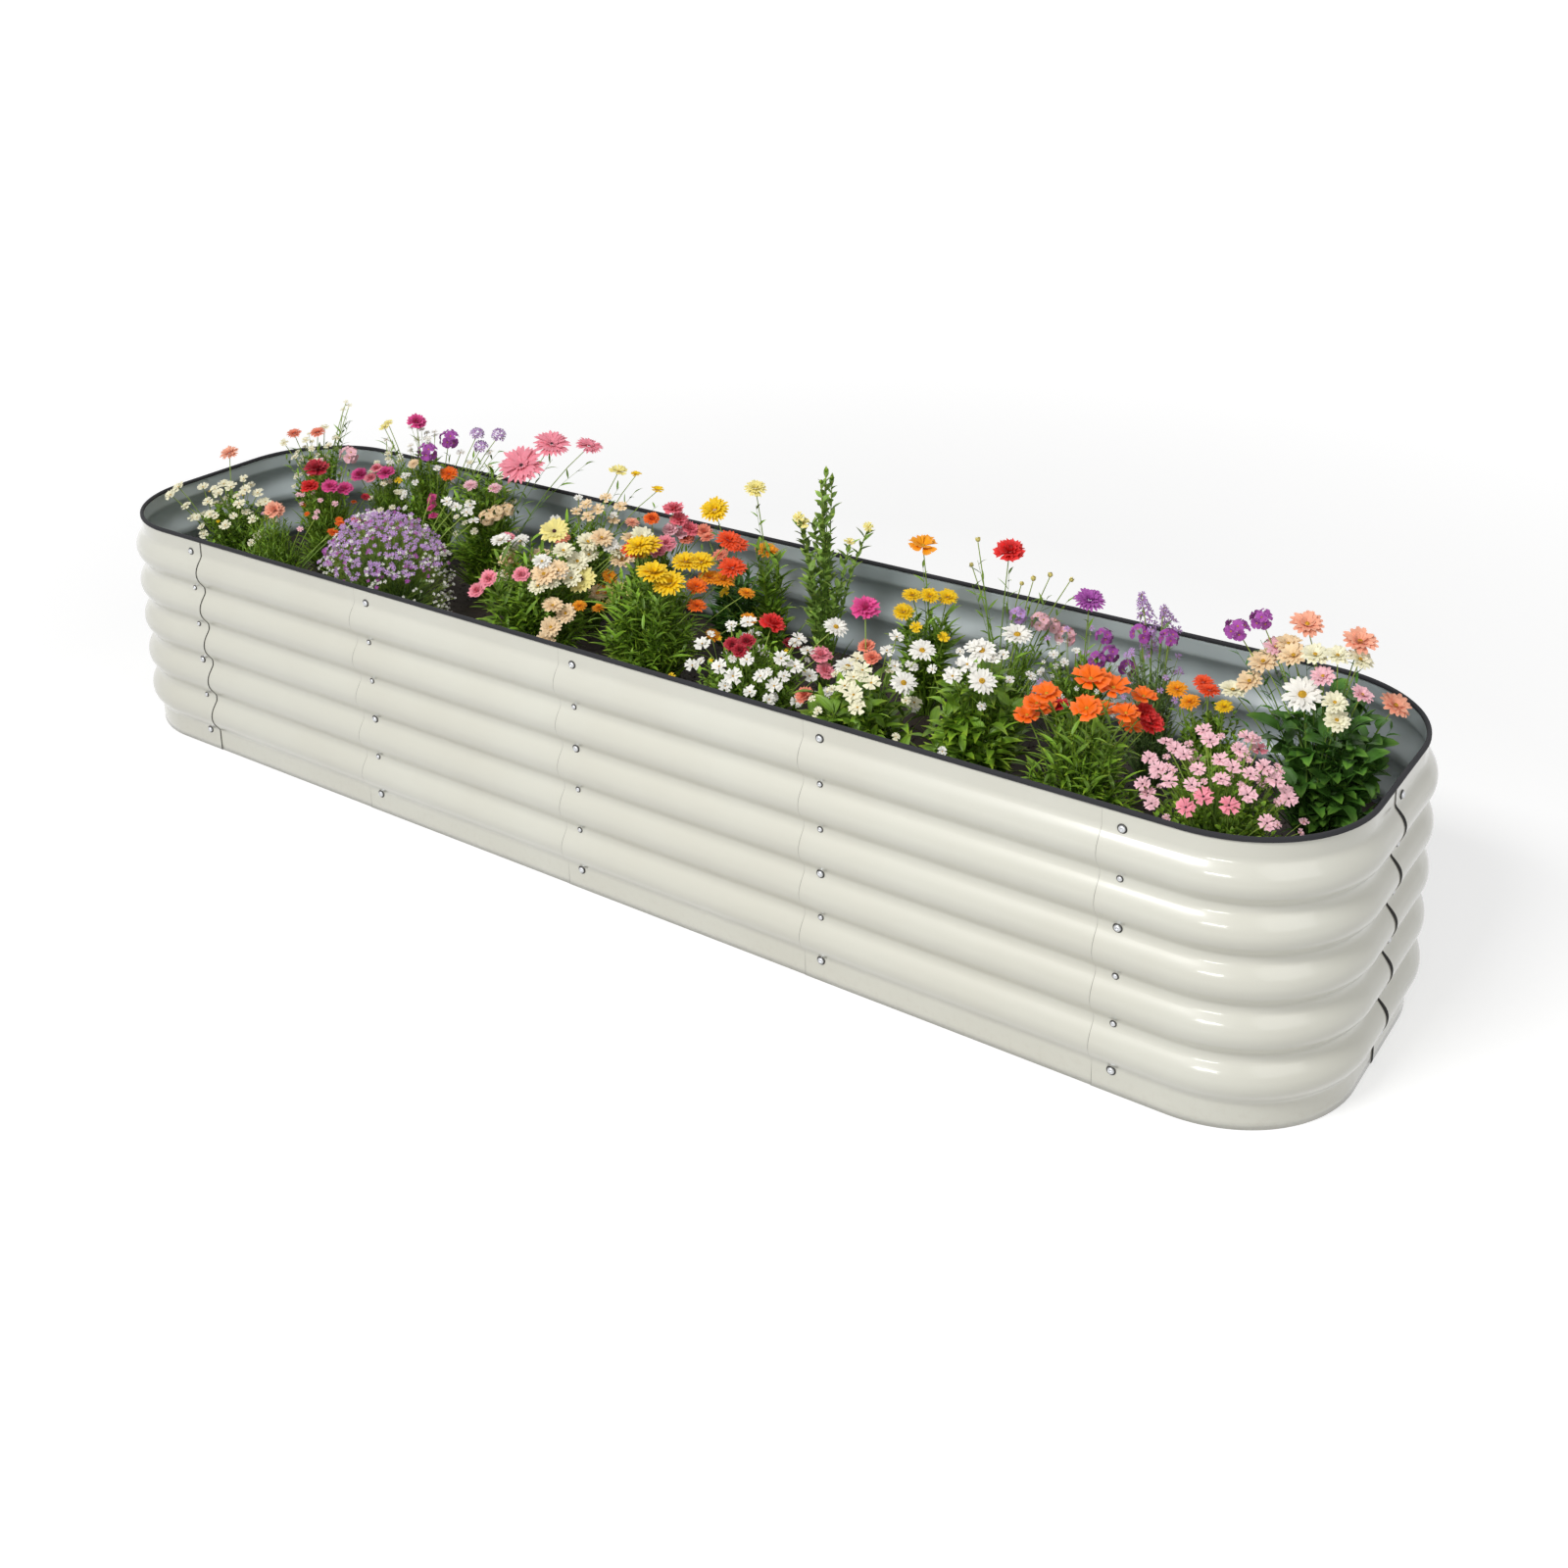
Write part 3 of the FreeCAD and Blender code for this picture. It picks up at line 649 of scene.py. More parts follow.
# Steps of the sheets' meshes: round a bend, up a wave, up the plain strip below or above the
# waves, along a side panel, and along the short and the long tail of a corner panel.
ARC_STEPS = 40
WAVE_STEPS = 22
PLAIN_STEPS = 3
PANEL_STEPS = 12
SHORT_TAIL_STEPS = 4
LONG_TAIL_STEPS = 6
# Below 1 the crests are rounder than the valleys.
CREST_ROUNDING = 0.66
# How often a metre the sheet's wander changes along it and up it.
WANDER_ALONG = 2.2
WANDER_UP = 9.0
# How far the painted shadow of the gap along a lap closes, and where over each wave it is
# widest, as shares of its width and of the wave.
GAP_SHADOW_CLOSING = 0.74
GAP_SHADOW_SHIFT = 0.10

def lap_step():
    sizes = settings().sheets
    return sizes.thickness + sizes.lap_gap


def wall_reach():
    """Half length and half width of the bed at the wall line, from the frame."""
    sizes = settings().sheets
    crest = sizes.wave_depth + sizes.thickness / 2 + lap_step()
    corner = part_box("corner_panel_back_right")[1]
    return corner.x - crest, corner.y - crest


def sheet_top():
    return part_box("side_panel_front_1")[1].z


def seam_places():
    """Where the seams of a long side stand, from left to right."""
    half_length, _ = wall_reach()
    sizes = settings().sheets
    first = sizes.corner_radius + sizes.corner_tail - half_length
    return [first + 2 * abs(first) * seam / SIDE_PANELS for seam in range(SIDE_PANELS + 1)]


def wave(height):
    """How far the sheet stands out of the wall line at each height: round crests, slim valleys."""
    sizes = settings().sheets
    turn = (height - sizes.first_valley) / sizes.wave_pitch
    near = np.abs(turn - np.round(turn)) * sizes.wave_pitch
    climb = (near - sizes.valley_flat / 2) / (sizes.wave_pitch / 2 - sizes.valley_flat / 2)
    climb = np.clip(climb, 0.0, 1.0) ** CREST_ROUNDING
    inside = (turn > 0) & (turn < WAVES)
    return np.where(inside, sizes.wave_depth * (1 - np.cos(math.pi * climb)) / 2, 0.0)


def sheet_heights():
    sizes = settings().sheets
    first, last = sizes.first_valley, sizes.first_valley + WAVES * sizes.wave_pitch
    waves = np.linspace(first, last, WAVES * WAVE_STEPS + 1)
    low = np.linspace(0.0, first, PLAIN_STEPS + 1)[:-1]
    high = np.linspace(last, sheet_top(), PLAIN_STEPS + 1)[1:]
    return np.concatenate([low, waves, high])


def straight_path(start, end, steps):
    """Plan points and outward directions along a straight stretch, walked anticlockwise."""
    start, end = np.array(start), np.array(end)
    points = start + (end - start) * np.linspace(0, 1, steps + 1)[:, None]
    ahead = (end - start) / np.linalg.norm(end - start)
    outward = np.tile((ahead[1], -ahead[0]), (steps + 1, 1))
    return points, outward


def arc_path(centre, radius, first_turn, steps):
    """The same round a quarter circle."""
    turns = first_turn + np.linspace(0, math.pi / 2, steps + 1)
    outward = np.stack([np.cos(turns), np.sin(turns)], 1)
    return np.array(centre) + radius * outward, outward


def join_paths(*paths):
    points = np.concatenate([paths[0][0]] + [path[0][1:] for path in paths[1:]])
    outward = np.concatenate([paths[0][1]] + [path[1][1:] for path in paths[1:]])
    return points, outward


def half_turned(path):
    """The same path on the opposite side of the bed."""
    points, outward = path
    return -points, -outward


def with_edge_rows(points, outward, first_edge, last_edge):
    """The path with a point added a painted shade line's width in from each end."""
    ahead = points[1] - points[0]
    back = points[-2] - points[-1]
    second = points[0] + ahead / np.linalg.norm(ahead) * first_edge
    before_last = points[-1] + back / np.linalg.norm(back) * last_edge
    points = np.concatenate([points[:1], [second], points[1:-1], [before_last], points[-1:]])
    outward = np.concatenate([outward[:1], outward[:1], outward[1:-1], outward[-1:], outward[-1:]])
    return points, outward


def lap_shadow_closing(heights, lift):
    """How far the painted shadow of the gap along a lap closes: it is widest over each crest."""
    sizes = settings().sheets
    turn = (heights - sizes.first_valley) / sizes.wave_pitch
    return lift * GAP_SHADOW_CLOSING * (1 + np.sin(2 * math.pi * (turn + GAP_SHADOW_SHIFT))) / 2


def wander(points, heights):
    """Which way and how far the sheet is off its true line, as shares of the wobble."""
    return np.array([
        [noise.noise(Vector((x * WANDER_ALONG, y * WANDER_ALONG, z * WANDER_UP)))
         for z in heights]
        for x, y in points
    ])


# The painted shade line along an end of a sheet: how wide it is, and its material.
Edge = namedtuple("Edge", "width material")


def sheet_shape(path, lifts, edges):
    """Corrugated sheet along a plan path, by the lift and the painted shade line of its two ends.

    A lift of 1 means that the sheet laps over its neighbour there.
    """
    sizes = settings().sheets
    first_lift, last_lift = lifts
    points, outward = with_edge_rows(*path, edges[0].width, edges[1].width)
    heights = sheet_heights()
    steps = np.linalg.norm(np.diff(points, axis=0), axis=1)
    run = np.concatenate([[0.0], np.cumsum(steps)])
    lift = lap_step() * (first_lift + (last_lift - first_lift) * run / run[-1])
    fade = np.clip(np.minimum(run, run[-1] - run) / sizes.lap_width - 1, 0, 1)
    middle = lift[:, None] + wave(heights)[None, :]
    middle = middle + sizes.wobble * wander(points, heights) * fade[:, None]
    skins = []
    for side in (0.5, -0.5):
        out = middle + side * sizes.thickness
        plan = points[:, None, :] + outward[:, None, :] * out[..., None]
        plan[1] -= (points[1] - points[0]) * lap_shadow_closing(heights, first_lift)[:, None]
        level = np.broadcast_to(heights, out.shape)[..., None]
        skins.append(np.concatenate([plan, level], -1).reshape(-1, 3))
    rows, columns = middle.shape
    count = rows * columns
    quads = grid_faces(rows, columns)
    outer = quads[:, [1, 2, 3, 0]]
    inner = quads[:, [0, 3, 2, 1]] + count
    strip = np.repeat(np.arange(rows - 1), columns - 1)
    first_shade_line = (strip == 0) & bool(first_lift)
    last_shade_line = (strip == rows - 2) & bool(last_lift)
    rim = []
    for line, turned in (
        (np.arange(rows) * columns, False), (np.arange(rows) * columns + columns - 1, True),
        (np.arange(columns), True), ((rows - 1) * columns + np.arange(columns), False),
    ):
        band = np.stack([line[:-1], line[1:], line[1:] + count, line[:-1] + count], -1)
        rim.append(band[:, ::-1] if turned else band)
    shape = Shape()
    shape.add(np.concatenate(skins), outer[~first_shade_line & ~last_shade_line], "ivory_enamel")
    # Faces along a lapping end take the material of its painted shade line.
    shape.cover(outer[first_shade_line], edges[0].material)
    shape.cover(outer[last_shade_line], edges[1].material)
    shape.cover(inner, "grey_lining")
    shape.cover(np.concatenate(rim), "cut_edge")
    return shape


def build_side_panels():
    """Front panels from left to right, and the back ones as the same turned by half a turn."""
    sizes = settings().sheets
    _, half_width = wall_reach()
    seams = seam_places()
    # A fine grey painted shade line along each lap.
    fine = Edge(sizes.lap_shade_line, "cut_edge")
    for panel in range(1, SIDE_PANELS + 1):
        start = (seams[panel - 1] - sizes.lap_width / 2, -half_width)
        end = (seams[panel] + sizes.lap_width / 2, -half_width)
        front = straight_path(start, end, PANEL_STEPS)
        lifts = (0 if panel == 1 else 1, 0)
        for side, path in (("front", front), ("back", half_turned(front))):
            piece = sheet_shape(path, lifts, (fine, fine)).build(f"side_sheet_{side}_{panel}")
            finish_piece(piece, "coated_steel", f"side_panel_{side}_{panel}")


def build_corner_panels():
    """Right front and left front corners, and their opposites turned by half a turn."""
    sizes = settings().sheets
    half_length, half_width = wall_reach()
    seams = seam_places()
    lap = sizes.lap_width / 2
    radius = sizes.corner_radius
    centre_x, centre_y = half_length - radius, half_width - radius
    right = join_paths(
        straight_path((seams[-1] - lap, -half_width), (centre_x, -half_width), SHORT_TAIL_STEPS),
        arc_path((centre_x, -centre_y), radius, -math.pi / 2, ARC_STEPS),
        straight_path((half_length, -centre_y), (half_length, lap), LONG_TAIL_STEPS),
    )
    left = join_paths(
        straight_path((-half_length, lap), (-half_length, -centre_y), LONG_TAIL_STEPS),
        arc_path((-centre_x, -centre_y), radius, math.pi, ARC_STEPS),
        straight_path((-centre_x, -half_width), (seams[0] + lap, -half_width), SHORT_TAIL_STEPS),
    )
    # A fine grey painted shade line along the other laps.
    fine = Edge(sizes.lap_shade_line, "cut_edge")
    # Near-black painted shadow along the lap in the middle of each end and the first lap of each
    # long side.
    gap_shadows = (Edge(sizes.end_gap_shadow, "lap_gap"), Edge(sizes.side_gap_shadow, "lap_gap"))
    for name, path, lifts, edges in (
        ("front_right", right, (1, 0), (fine, fine)),
        ("front_left", left, (1, 1), gap_shadows),
        ("back_left", half_turned(right), (1, 0), (fine, fine)),
        ("back_right", half_turned(left), (1, 1), gap_shadows),
    ):
        piece = sheet_shape(path, lifts, edges).build(f"corner_sheet_{name}")
        finish_piece(piece, "coated_steel", f"corner_panel_{name}")


def bed_outline(reach=0.0, arc_steps=24, side_steps=16, end_steps=3):
    """Closed plan of the wall line, moved outwards by a reach."""
    half_length, half_width = wall_reach()
    radius = settings().sheets.corner_radius
    cx, cy = half_length - radius, half_width - radius
    stretches = []
    for turn, (start, end, centre, steps) in enumerate((
        ((-cx, -half_width), (cx, -half_width), (cx, -cy), side_steps),
        ((half_length, -cy), (half_length, cy), (cx, cy), end_steps),
        ((cx, half_width), (-cx, half_width), (-cx, cy), side_steps),
        ((-half_length, cy), (-half_length, -cy), (-cx, -cy), end_steps),
    )):
        stretches.append(straight_path(start, end, steps))
        stretches.append(arc_path(centre, radius, (turn - 1) * math.pi / 2, arc_steps))
    points, outward = join_paths(*stretches)
    return points[:-1] + outward[:-1] * reach, outward[:-1]


RIM_WALL = 0.0018
RIM_ROUND_STEPS = 9
# How far the rolled edge of a lip is cut in and up.
LIP_IN = 0.0006
LIP_UP = 0.0007


def build_rim_edging():
    """Rubber channel with a rounded back and two rolled lips, all round the top edge."""
    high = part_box("rim_edging")[1]
    half_length, _ = wall_reach()
    sizes = settings().sheets
    lip = high.z - sizes.rim_height
    outer = high.x - half_length
    inner = -(sizes.thickness / 2 + (outer - lap_step() - sizes.thickness / 2))
    middle, half = (outer + inner) / 2, (outer - inner) / 2
    shoulder = high.z - half
    profile = [(outer - LIP_IN, lip), (outer, lip + LIP_UP), (outer, shoulder)]
    for step in range(1, RIM_ROUND_STEPS):
        turn = math.pi * step / RIM_ROUND_STEPS
        profile.append((middle + half * math.cos(turn), shoulder + half * math.sin(turn)))
    profile += [(inner, shoulder), (inner, lip + LIP_UP), (inner + LIP_IN, lip),
                (inner + RIM_WALL, lip), (inner + RIM_WALL, sheet_top()),
                (outer - RIM_WALL, sheet_top()), (outer - RIM_WALL, lip)]
    points, outward = bed_outline()
    profile = np.array(profile)
    ring = points[:, None, :] + outward[:, None, :] * profile[None, :, :1]
    level = np.broadcast_to(profile[None, :, 1:], ring.shape[:2] + (1,))
    rows, columns = ring.shape[:2]
    faces = grid_faces(rows + 1, columns, closed_columns=True) % (rows * columns)
    shape = Shape()
    shape.add(np.concatenate([ring, level], -1), faces[:, ::-1], "edge_rubber")
    finish_piece(shape.build("rim_rubber"), "edge_rubber", "rim_edging")


def lathe(profile, sides):
    """Points and faces turned round +Z. A profile row is radius, height and how six-sided it is."""
    turns = np.arange(sides) * 2 * math.pi / sides
    sector = (turns + math.pi / 6) % (math.pi / 3) - math.pi / 6
    flat = math.cos(math.pi / 6) / np.cos(sector)
    rows = []
    for radius, height, six_sided in profile:
        reach = radius * (1 + six_sided * (flat - 1))
        rows.append(np.stack([reach * np.cos(turns), reach * np.sin(turns),
                              np.full(sides, height)], 1))
    return np.concatenate(rows), grid_faces(len(profile), sides, closed_columns=True)


HEAD_SIDES = 24
FLANGE = 0.0009
BEVEL_SHARE = 0.25
SEAT_GAP = 0.0001
# How far round each head is turned from its neighbour, in radians.
HEAD_TURN = 0.7
# Radius and height of the two kinds of head.
HEAD_SIZES = {"large_head_bolts": (0.0070, 0.0040), "small_head_bolts": (0.0050, 0.0030)}
# A head's cap as a share of its flange, its dome as shares out and up, and its socket as shares
# of the cap.
CAP_SHARE = 0.72
HEAD_DOME = ((1.0, 0.25), (0.93, 0.55), (0.80, 0.80), (0.64, 0.94), (0.50, 1.0))
SOCKET_SHARE = 0.42
# The socket's mouth as shares of its radius and depths in metres, and its floor as shares of its
# radius and of the dome's height.
SOCKET_MOUTH = ((1.0, 0.0001), (0.97, 0.0003))
SOCKET_FLOOR = ((0.92, 0.45), (0.0, 0.35))


def flange_profile(radius):
    """Round washer or flange under a bolt head."""
    bevel = FLANGE * BEVEL_SHARE
    return [(0.0, 0.0, 0), (radius - bevel, 0.0, 0), (radius, bevel, 0),
            (radius, FLANGE - bevel, 0), (radius - bevel, FLANGE, 0), (0.0, FLANGE, 0)]


def head_profile(radius, height):
    """Button head with a six-sided socket, on its flange."""
    cap = radius * CAP_SHARE
    dome = height - FLANGE
    socket = cap * SOCKET_SHARE
    profile = [(0.0, FLANGE, 0), (cap, FLANGE, 0)]
    profile += [(cap * out, FLANGE + dome * up, 0) for out, up in HEAD_DOME]
    profile += [(socket * out, height - deep, 1) for out, deep in SOCKET_MOUTH]
    profile += [(socket * out, FLANGE + dome * up, 1) for out, up in SOCKET_FLOOR]
    return profile


def bolt_spots():
    """Every bolt's place on the wall line, its outward direction and its row's seam number."""
    half_length, half_width = wall_reach()
    for seam, x in enumerate(seam_places()):
        yield (x, -half_width), (0, -1), seam
        yield (-x, half_width), (0, 1), seam
    yield (half_length, 0.0), (1, 0), SIDE_PANELS + 1
    yield (-half_length, 0.0), (-1, 0), SIDE_PANELS + 1


# Rows with a larger head, counted up from the ground, for each seam of a long side and then
# for the seam in the middle of an end.
LARGE_HEAD_ROWS = ((0, 2, 5), (0, 2, 5), (0, 3, 5), (0, 2, 5), (0, 3, 5), (0, 2, 5))


def build_bolt_heads():
    """Large and small heads on their flanges, and the finish of the nuts and the tie rods."""
    sizes = settings().sheets
    seat = lap_step() + sizes.thickness / 2 + SEAT_GAP
    for node, (radius, height) in HEAD_SIZES.items():
        head = lathe(head_profile(radius, height), HEAD_SIDES)
        flange = lathe(flange_profile(radius), HEAD_SIDES)
        shape = Shape()
        for (x, y), (out_x, out_y), seam in bolt_spots():
            for row in range(BOLT_ROWS):
                if (row in LARGE_HEAD_ROWS[seam]) != node.startswith("large"):
                    continue
                turn = Matrix.Rotation(HEAD_TURN * (row + 2 * seam), 3, "Z")
                facing = Vector((out_x, out_y, 0)).to_track_quat("Z", "Y").to_matrix()
                place = (x + out_x * seat, y + out_y * seat,
                         sizes.first_valley + row * sizes.wave_pitch)
                matrix = np.array(facing @ turn).T
                shape.add(head[0] @ matrix + place, head[1], "bright_steel")
                # The flange is painted near black, a painted shadow ring round the head.
                shape.add(flange[0] @ matrix + place, flange[1], "flange_steel")
        finish_piece(shape.build(node.replace("bolts", "bolt_caps")), "bright_steel", node)
    for node in ("bolt_nuts", "tie_rods"):
        for slot in frame["nodes"][node].material_slots:
            slot.material = material_named("bright_steel")


# ----- Soil -----

SOIL_RINGS = 44
SOIL_SWELL = 0.006
SOIL_LEVEL = 0.55
# The soil heaves, is lumpy and is grainy: how often a metre, in which layer of the noise, and how
# strongly as a share of its swell.
SOIL_FORMS = ((3.1, 0.0, 0.5), (38.0, 4.0, 0.34), (150.0, 9.0, 0.22))


def soil_height(x, y, top):
    """Height of the soil at a spot."""
    level = SOIL_LEVEL
    for often, layer, strength in SOIL_FORMS:
        level -= noise.noise(Vector((x * often, y * often, layer))) * strength
    return top - SOIL_SWELL * level


def soil_surface(shape):
    """Lumpy top over a plain block, on lines from the wall to the middle of the bed."""
    low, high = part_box("soil_fill")
    half_length, half_width = wall_reach()
    points, _ = bed_outline(high.x - half_length, arc_steps=40, side_steps=300, end_steps=20)
    spine = points.copy()
    spine[:, 0] = np.clip(spine[:, 0], -(half_length - half_width), half_length - half_width)
    spine[:, 1] = 0.0
    rows = [[(x, y, low.z) for x, y in line] for line in (spine, points)]
    for ring in range(SOIL_RINGS + 1):
        plan = spine + (points - spine) * (1 - ring / SOIL_RINGS)
        rows.append([(x, y, soil_height(x, y, high.z)) for x, y in plan])
    stack = np.array(rows)
    shape.add(stack, grid_faces(len(stack), len(points), closed_columns=True), "potting_soil")


CRUMBS = 5200
CRUMB_SIZES = (0.0010, 0.0030)
LARGE_CRUMB_SHARE = 0.12
LARGE_CRUMB_SCALE = 1.7
# Length, height and unevenness of a crumb, and how far it stands out of the soil, as shares of its
# size.
CRUMB_LENGTHS = (0.8, 1.9)
CRUMB_HEIGHTS = (0.4, 0.9)
CRUMB_UNEVENNESS = (0.7, 1.2)
CRUMB_LIFT = 0.25
# The nearest that a crumb comes to the wall line.
CRUMB_MARGIN = 0.012
CRUMB_CORNERS = np.array(
    [(1, 0, 0), (0, 1, 0), (-1, 0, 0), (0, -1, 0), (0, 0, 1), (0, 0, -1)], float
)
CRUMB_FACES = np.array(
    [(0, 1, 4), (1, 2, 4), (2, 3, 4), (3, 0, 4), (1, 0, 5), (2, 1, 5), (3, 2, 5), (0, 3, 5)]
)


def crumbs(shape, rng):
    """Crumbs and chips of bark scattered over the soil."""
    half_length, half_width = wall_reach()
    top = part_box("soil_fill")[1].z
    reach = half_width - CRUMB_MARGIN
    placed = 0
    while placed < CRUMBS:
        x = rng.uniform(-half_length, half_length)
        y = rng.uniform(-reach, reach)
        over = max(abs(x) - (half_length - half_width), 0.0)
        if math.hypot(over, y) > reach:
            continue
        placed += 1
        size = rng.uniform(*CRUMB_SIZES)
        size *= LARGE_CRUMB_SCALE if rng.random() < LARGE_CRUMB_SHARE else 1.0
        stretch = np.array([size * rng.uniform(*CRUMB_LENGTHS), size,
                            size * rng.uniform(*CRUMB_HEIGHTS)])
        corners = CRUMB_CORNERS * rng.uniform(*CRUMB_UNEVENNESS, CRUMB_CORNERS.shape) * stretch
        turn = Matrix.Rotation(rng.uniform(0, ANY_TURN), 3, Vector(rng.normal(size=3)))
        marks = np.full(CRUMB_CORNERS.shape, 0.5)
        marks[:, 2] = rng.random()
        spot = (x, y, soil_height(x, y, top) + size * CRUMB_LIFT)
        corners = corners @ np.array(turn).T + spot
        shape.add(corners, CRUMB_FACES, "potting_soil", marks)


def build_soil():
    shape = Shape()
    soil_surface(shape)
    crumbs(shape, np.random.default_rng(settings().greens.seed))
    finish_piece(shape.build("soil_surface"), "potting_soil", "soil_fill")


# ----- Leaves, stems and flowers -----

# Outline of a petal or leaf: places along it, and its half width there as a share of the widest.
OUTLINES = {
    "strap": ((0.0, 0.45, 0.80, 0.94, 1.0), (0.40, 0.82, 1.00, 0.72, 0.22)),
    "round": ((0.0, 0.35, 0.70, 0.92, 1.0), (0.24, 0.78, 1.00, 0.80, 0.36)),
    "fan": ((0.0, 0.50, 0.86, 1.0), (0.16, 0.62, 1.00, 0.86)),
    "lance": ((0.0, 0.30, 0.60, 1.0), (0.28, 1.00, 0.80, 0.03)),
    "lobed": ((0.0, 0.22, 0.36, 0.52, 0.64, 0.80, 1.0),
              (0.20, 0.85, 0.52, 1.00, 0.50, 0.62, 0.04)),
}

# One ring of petals: how many, how far out it starts, its length and half width as shares of
# the flower's radius, the slope at its base and tip in radians, outline, notch and ruffle.
Ring = namedtuple("Ring", "count inner length width start finish outline notch ruffle",
                  defaults=("round", 0.0, 0.0))
# A flower: its rings, the size of its grainy middle, and the middle's material.
Flower = namedtuple("Flower", "rings middle pollen", defaults=(0.0, "pollen"))

FLOWERS = {
    "daisy": Flower((Ring(17, 0.14, 0.86, 0.14, 0.26, -0.16, "strap"),
                     Ring(13, 0.12, 0.66, 0.12, 0.52, 0.10, "strap")), 0.22),
    "dark_daisy": Flower((Ring(18, 0.14, 0.86, 0.16, 0.26, -0.12, "strap"),
                          Ring(15, 0.12, 0.66, 0.14, 0.52, 0.12, "strap")), 0.14, "seeds"),
    "gerbera": Flower((Ring(27, 0.16, 0.84, 0.10, 0.16, -0.12, "strap"),
                       Ring(23, 0.12, 0.68, 0.09, 0.40, 0.05, "strap"),
                       Ring(17, 0.06, 0.36, 0.06, 0.85, 0.40, "strap")), 0.08, "seeds"),
    "mum": Flower((Ring(23, 0.16, 0.84, 0.115, 0.10, -0.15),
                   Ring(20, 0.12, 0.72, 0.11, 0.38, 0.10),
                   Ring(16, 0.10, 0.52, 0.10, 0.75, 0.45),
                   Ring(10, 0.06, 0.32, 0.09, 1.15, 1.10))),
    "carnation": Flower((Ring(13, 0.05, 0.92, 0.25, 0.30, -0.08, "fan", 0.12, 0.08),
                         Ring(12, 0.05, 0.78, 0.23, 0.62, 0.30, "fan", 0.12, 0.08),
                         Ring(10, 0.04, 0.62, 0.20, 0.98, 0.70, "fan", 0.14, 0.10),
                         Ring(8, 0.03, 0.48, 0.16, 1.30, 1.15, "fan", 0.14, 0.08))),
    "dahlia": Flower((Ring(15, 0.12, 0.88, 0.17, 0.22, -0.06),
                      Ring(13, 0.10, 0.72, 0.16, 0.50, 0.20),
                      Ring(10, 0.08, 0.46, 0.14, 0.88, 0.70)), 0.16),
    "cosmos": Flower((Ring(8, 0.08, 0.92, 0.31, 0.28, -0.04, "fan", 0.05, 0.04),
                      Ring(7, 0.06, 0.70, 0.26, 0.66, 0.30, "fan", 0.05, 0.05)), 0.13),
    "viola": Flower((Ring(5, 0.04, 0.96, 0.50, 0.36, -0.10),), 0.14),
    "star": Flower((Ring(5, 0.06, 0.94, 0.34, 0.25, -0.10, "fan", 0.20),), 0.12),
    "verbena": Flower((Ring(7, 0.10, 0.90, 0.34, 0.22, -0.12, "fan", 0.12),
                       Ring(5, 0.06, 0.60, 0.26, 0.60, 0.20, "fan", 0.12)), 0.13, "seeds"),
    "phlox": Flower((Ring(6, 0.06, 0.94, 0.36, 0.22, -0.10, "fan", 0.08),
                     Ring(5, 0.05, 0.62, 0.27, 0.62, 0.25, "fan", 0.08)), 0.13),
    "bud": Flower((Ring(6, 0.10, 1.70, 0.50, 1.15, 2.05),)),
}

# A head of small flowers: what they are, how many, their size, and the head's height, all as
# shares of the head's radius.
Head = namedtuple("Head", "flower count size height")
HEADS = {
    "truss": Head("star", 13, 0.42, 0.8),
    "posy": Head("viola", 6, 0.58, 0.7),
    "spike": Head("star", 22, 0.46, 3.6),
}


# Petals of flowers larger than this radius have more rows of faces.
FINE_PETALS = 0.007
# How far petals stray from even turns, from their length and from their slope.
PETAL_TURN = 0.22
PETAL_LENGTHS = (0.90, 1.06)
PETAL_SLOPE = 0.09
# How deeply a petal is cupped, and a leaf is folded, as shares of its half width.
PETAL_CUP = 0.30
LEAF_FOLD = 0.45


def growth_marks(rng, along, across, count):
    """What growth_parts reads, for many petals or leaves with the same rows and columns."""
    own = rng.random(count)
    marks = np.broadcast_arrays(along[None, :, None], (across[None, None, :] + 1) / 2,
                                own[:, None, None])
    return np.stack(marks, -1).reshape(-1, 3)


def petal_ring(rng, ring, size):
    """Points, faces and marks of one ring of petals that open round +Z."""
    rows, columns = (4, 2) if size > FINE_PETALS else (2, 2)
    along = np.linspace(0, 1, rows + 1)
    across = np.linspace(-1, 1, columns + 1)
    count = ring.count
    turn = np.arange(count) + rng.uniform(-PETAL_TURN, PETAL_TURN, count)
    turn = turn * 2 * math.pi / count
    turn = turn + rng.uniform(0, 2 * math.pi)
    reach = ring.length * rng.uniform(*PETAL_LENGTHS, count)
    slope = np.linspace(ring.start, ring.finish, rows)[None, :]
    slope = slope + rng.normal(0, PETAL_SLOPE, (count, 1))
    zero = np.zeros((count, 1))
    out = np.concatenate([zero, np.cumsum(np.cos(slope), 1)], 1) / rows * reach[:, None]
    rise = np.concatenate([zero, np.cumsum(np.sin(slope), 1)], 1) / rows * reach[:, None]
    half = ring.width * np.interp(along, *OUTLINES[ring.outline])
    side = half[None, :, None] * across[None, None, :] * np.ones((count, 1, 1))
    out = ring.inner + out[:, :, None] - ring.notch * (1 - np.abs(across)) * along[:, None] ** 4
    waviness = ring.ruffle * along[:, None] ** 2 * rng.uniform(-1, 1, (count, 1, len(across)))
    rise = rise[:, :, None] + PETAL_CUP * half[None, :, None] * across ** 2 + waviness
    cos, sin = np.cos(turn)[:, None, None], np.sin(turn)[:, None, None]
    points = np.stack([out * cos - side * sin, out * sin + side * cos, rise], -1) * size
    step = (rows + 1) * (columns + 1)
    faces = copied_faces(grid_faces(rows + 1, columns + 1), count, step)
    return points.reshape(-1, 3), faces, growth_marks(rng, along, across, count)


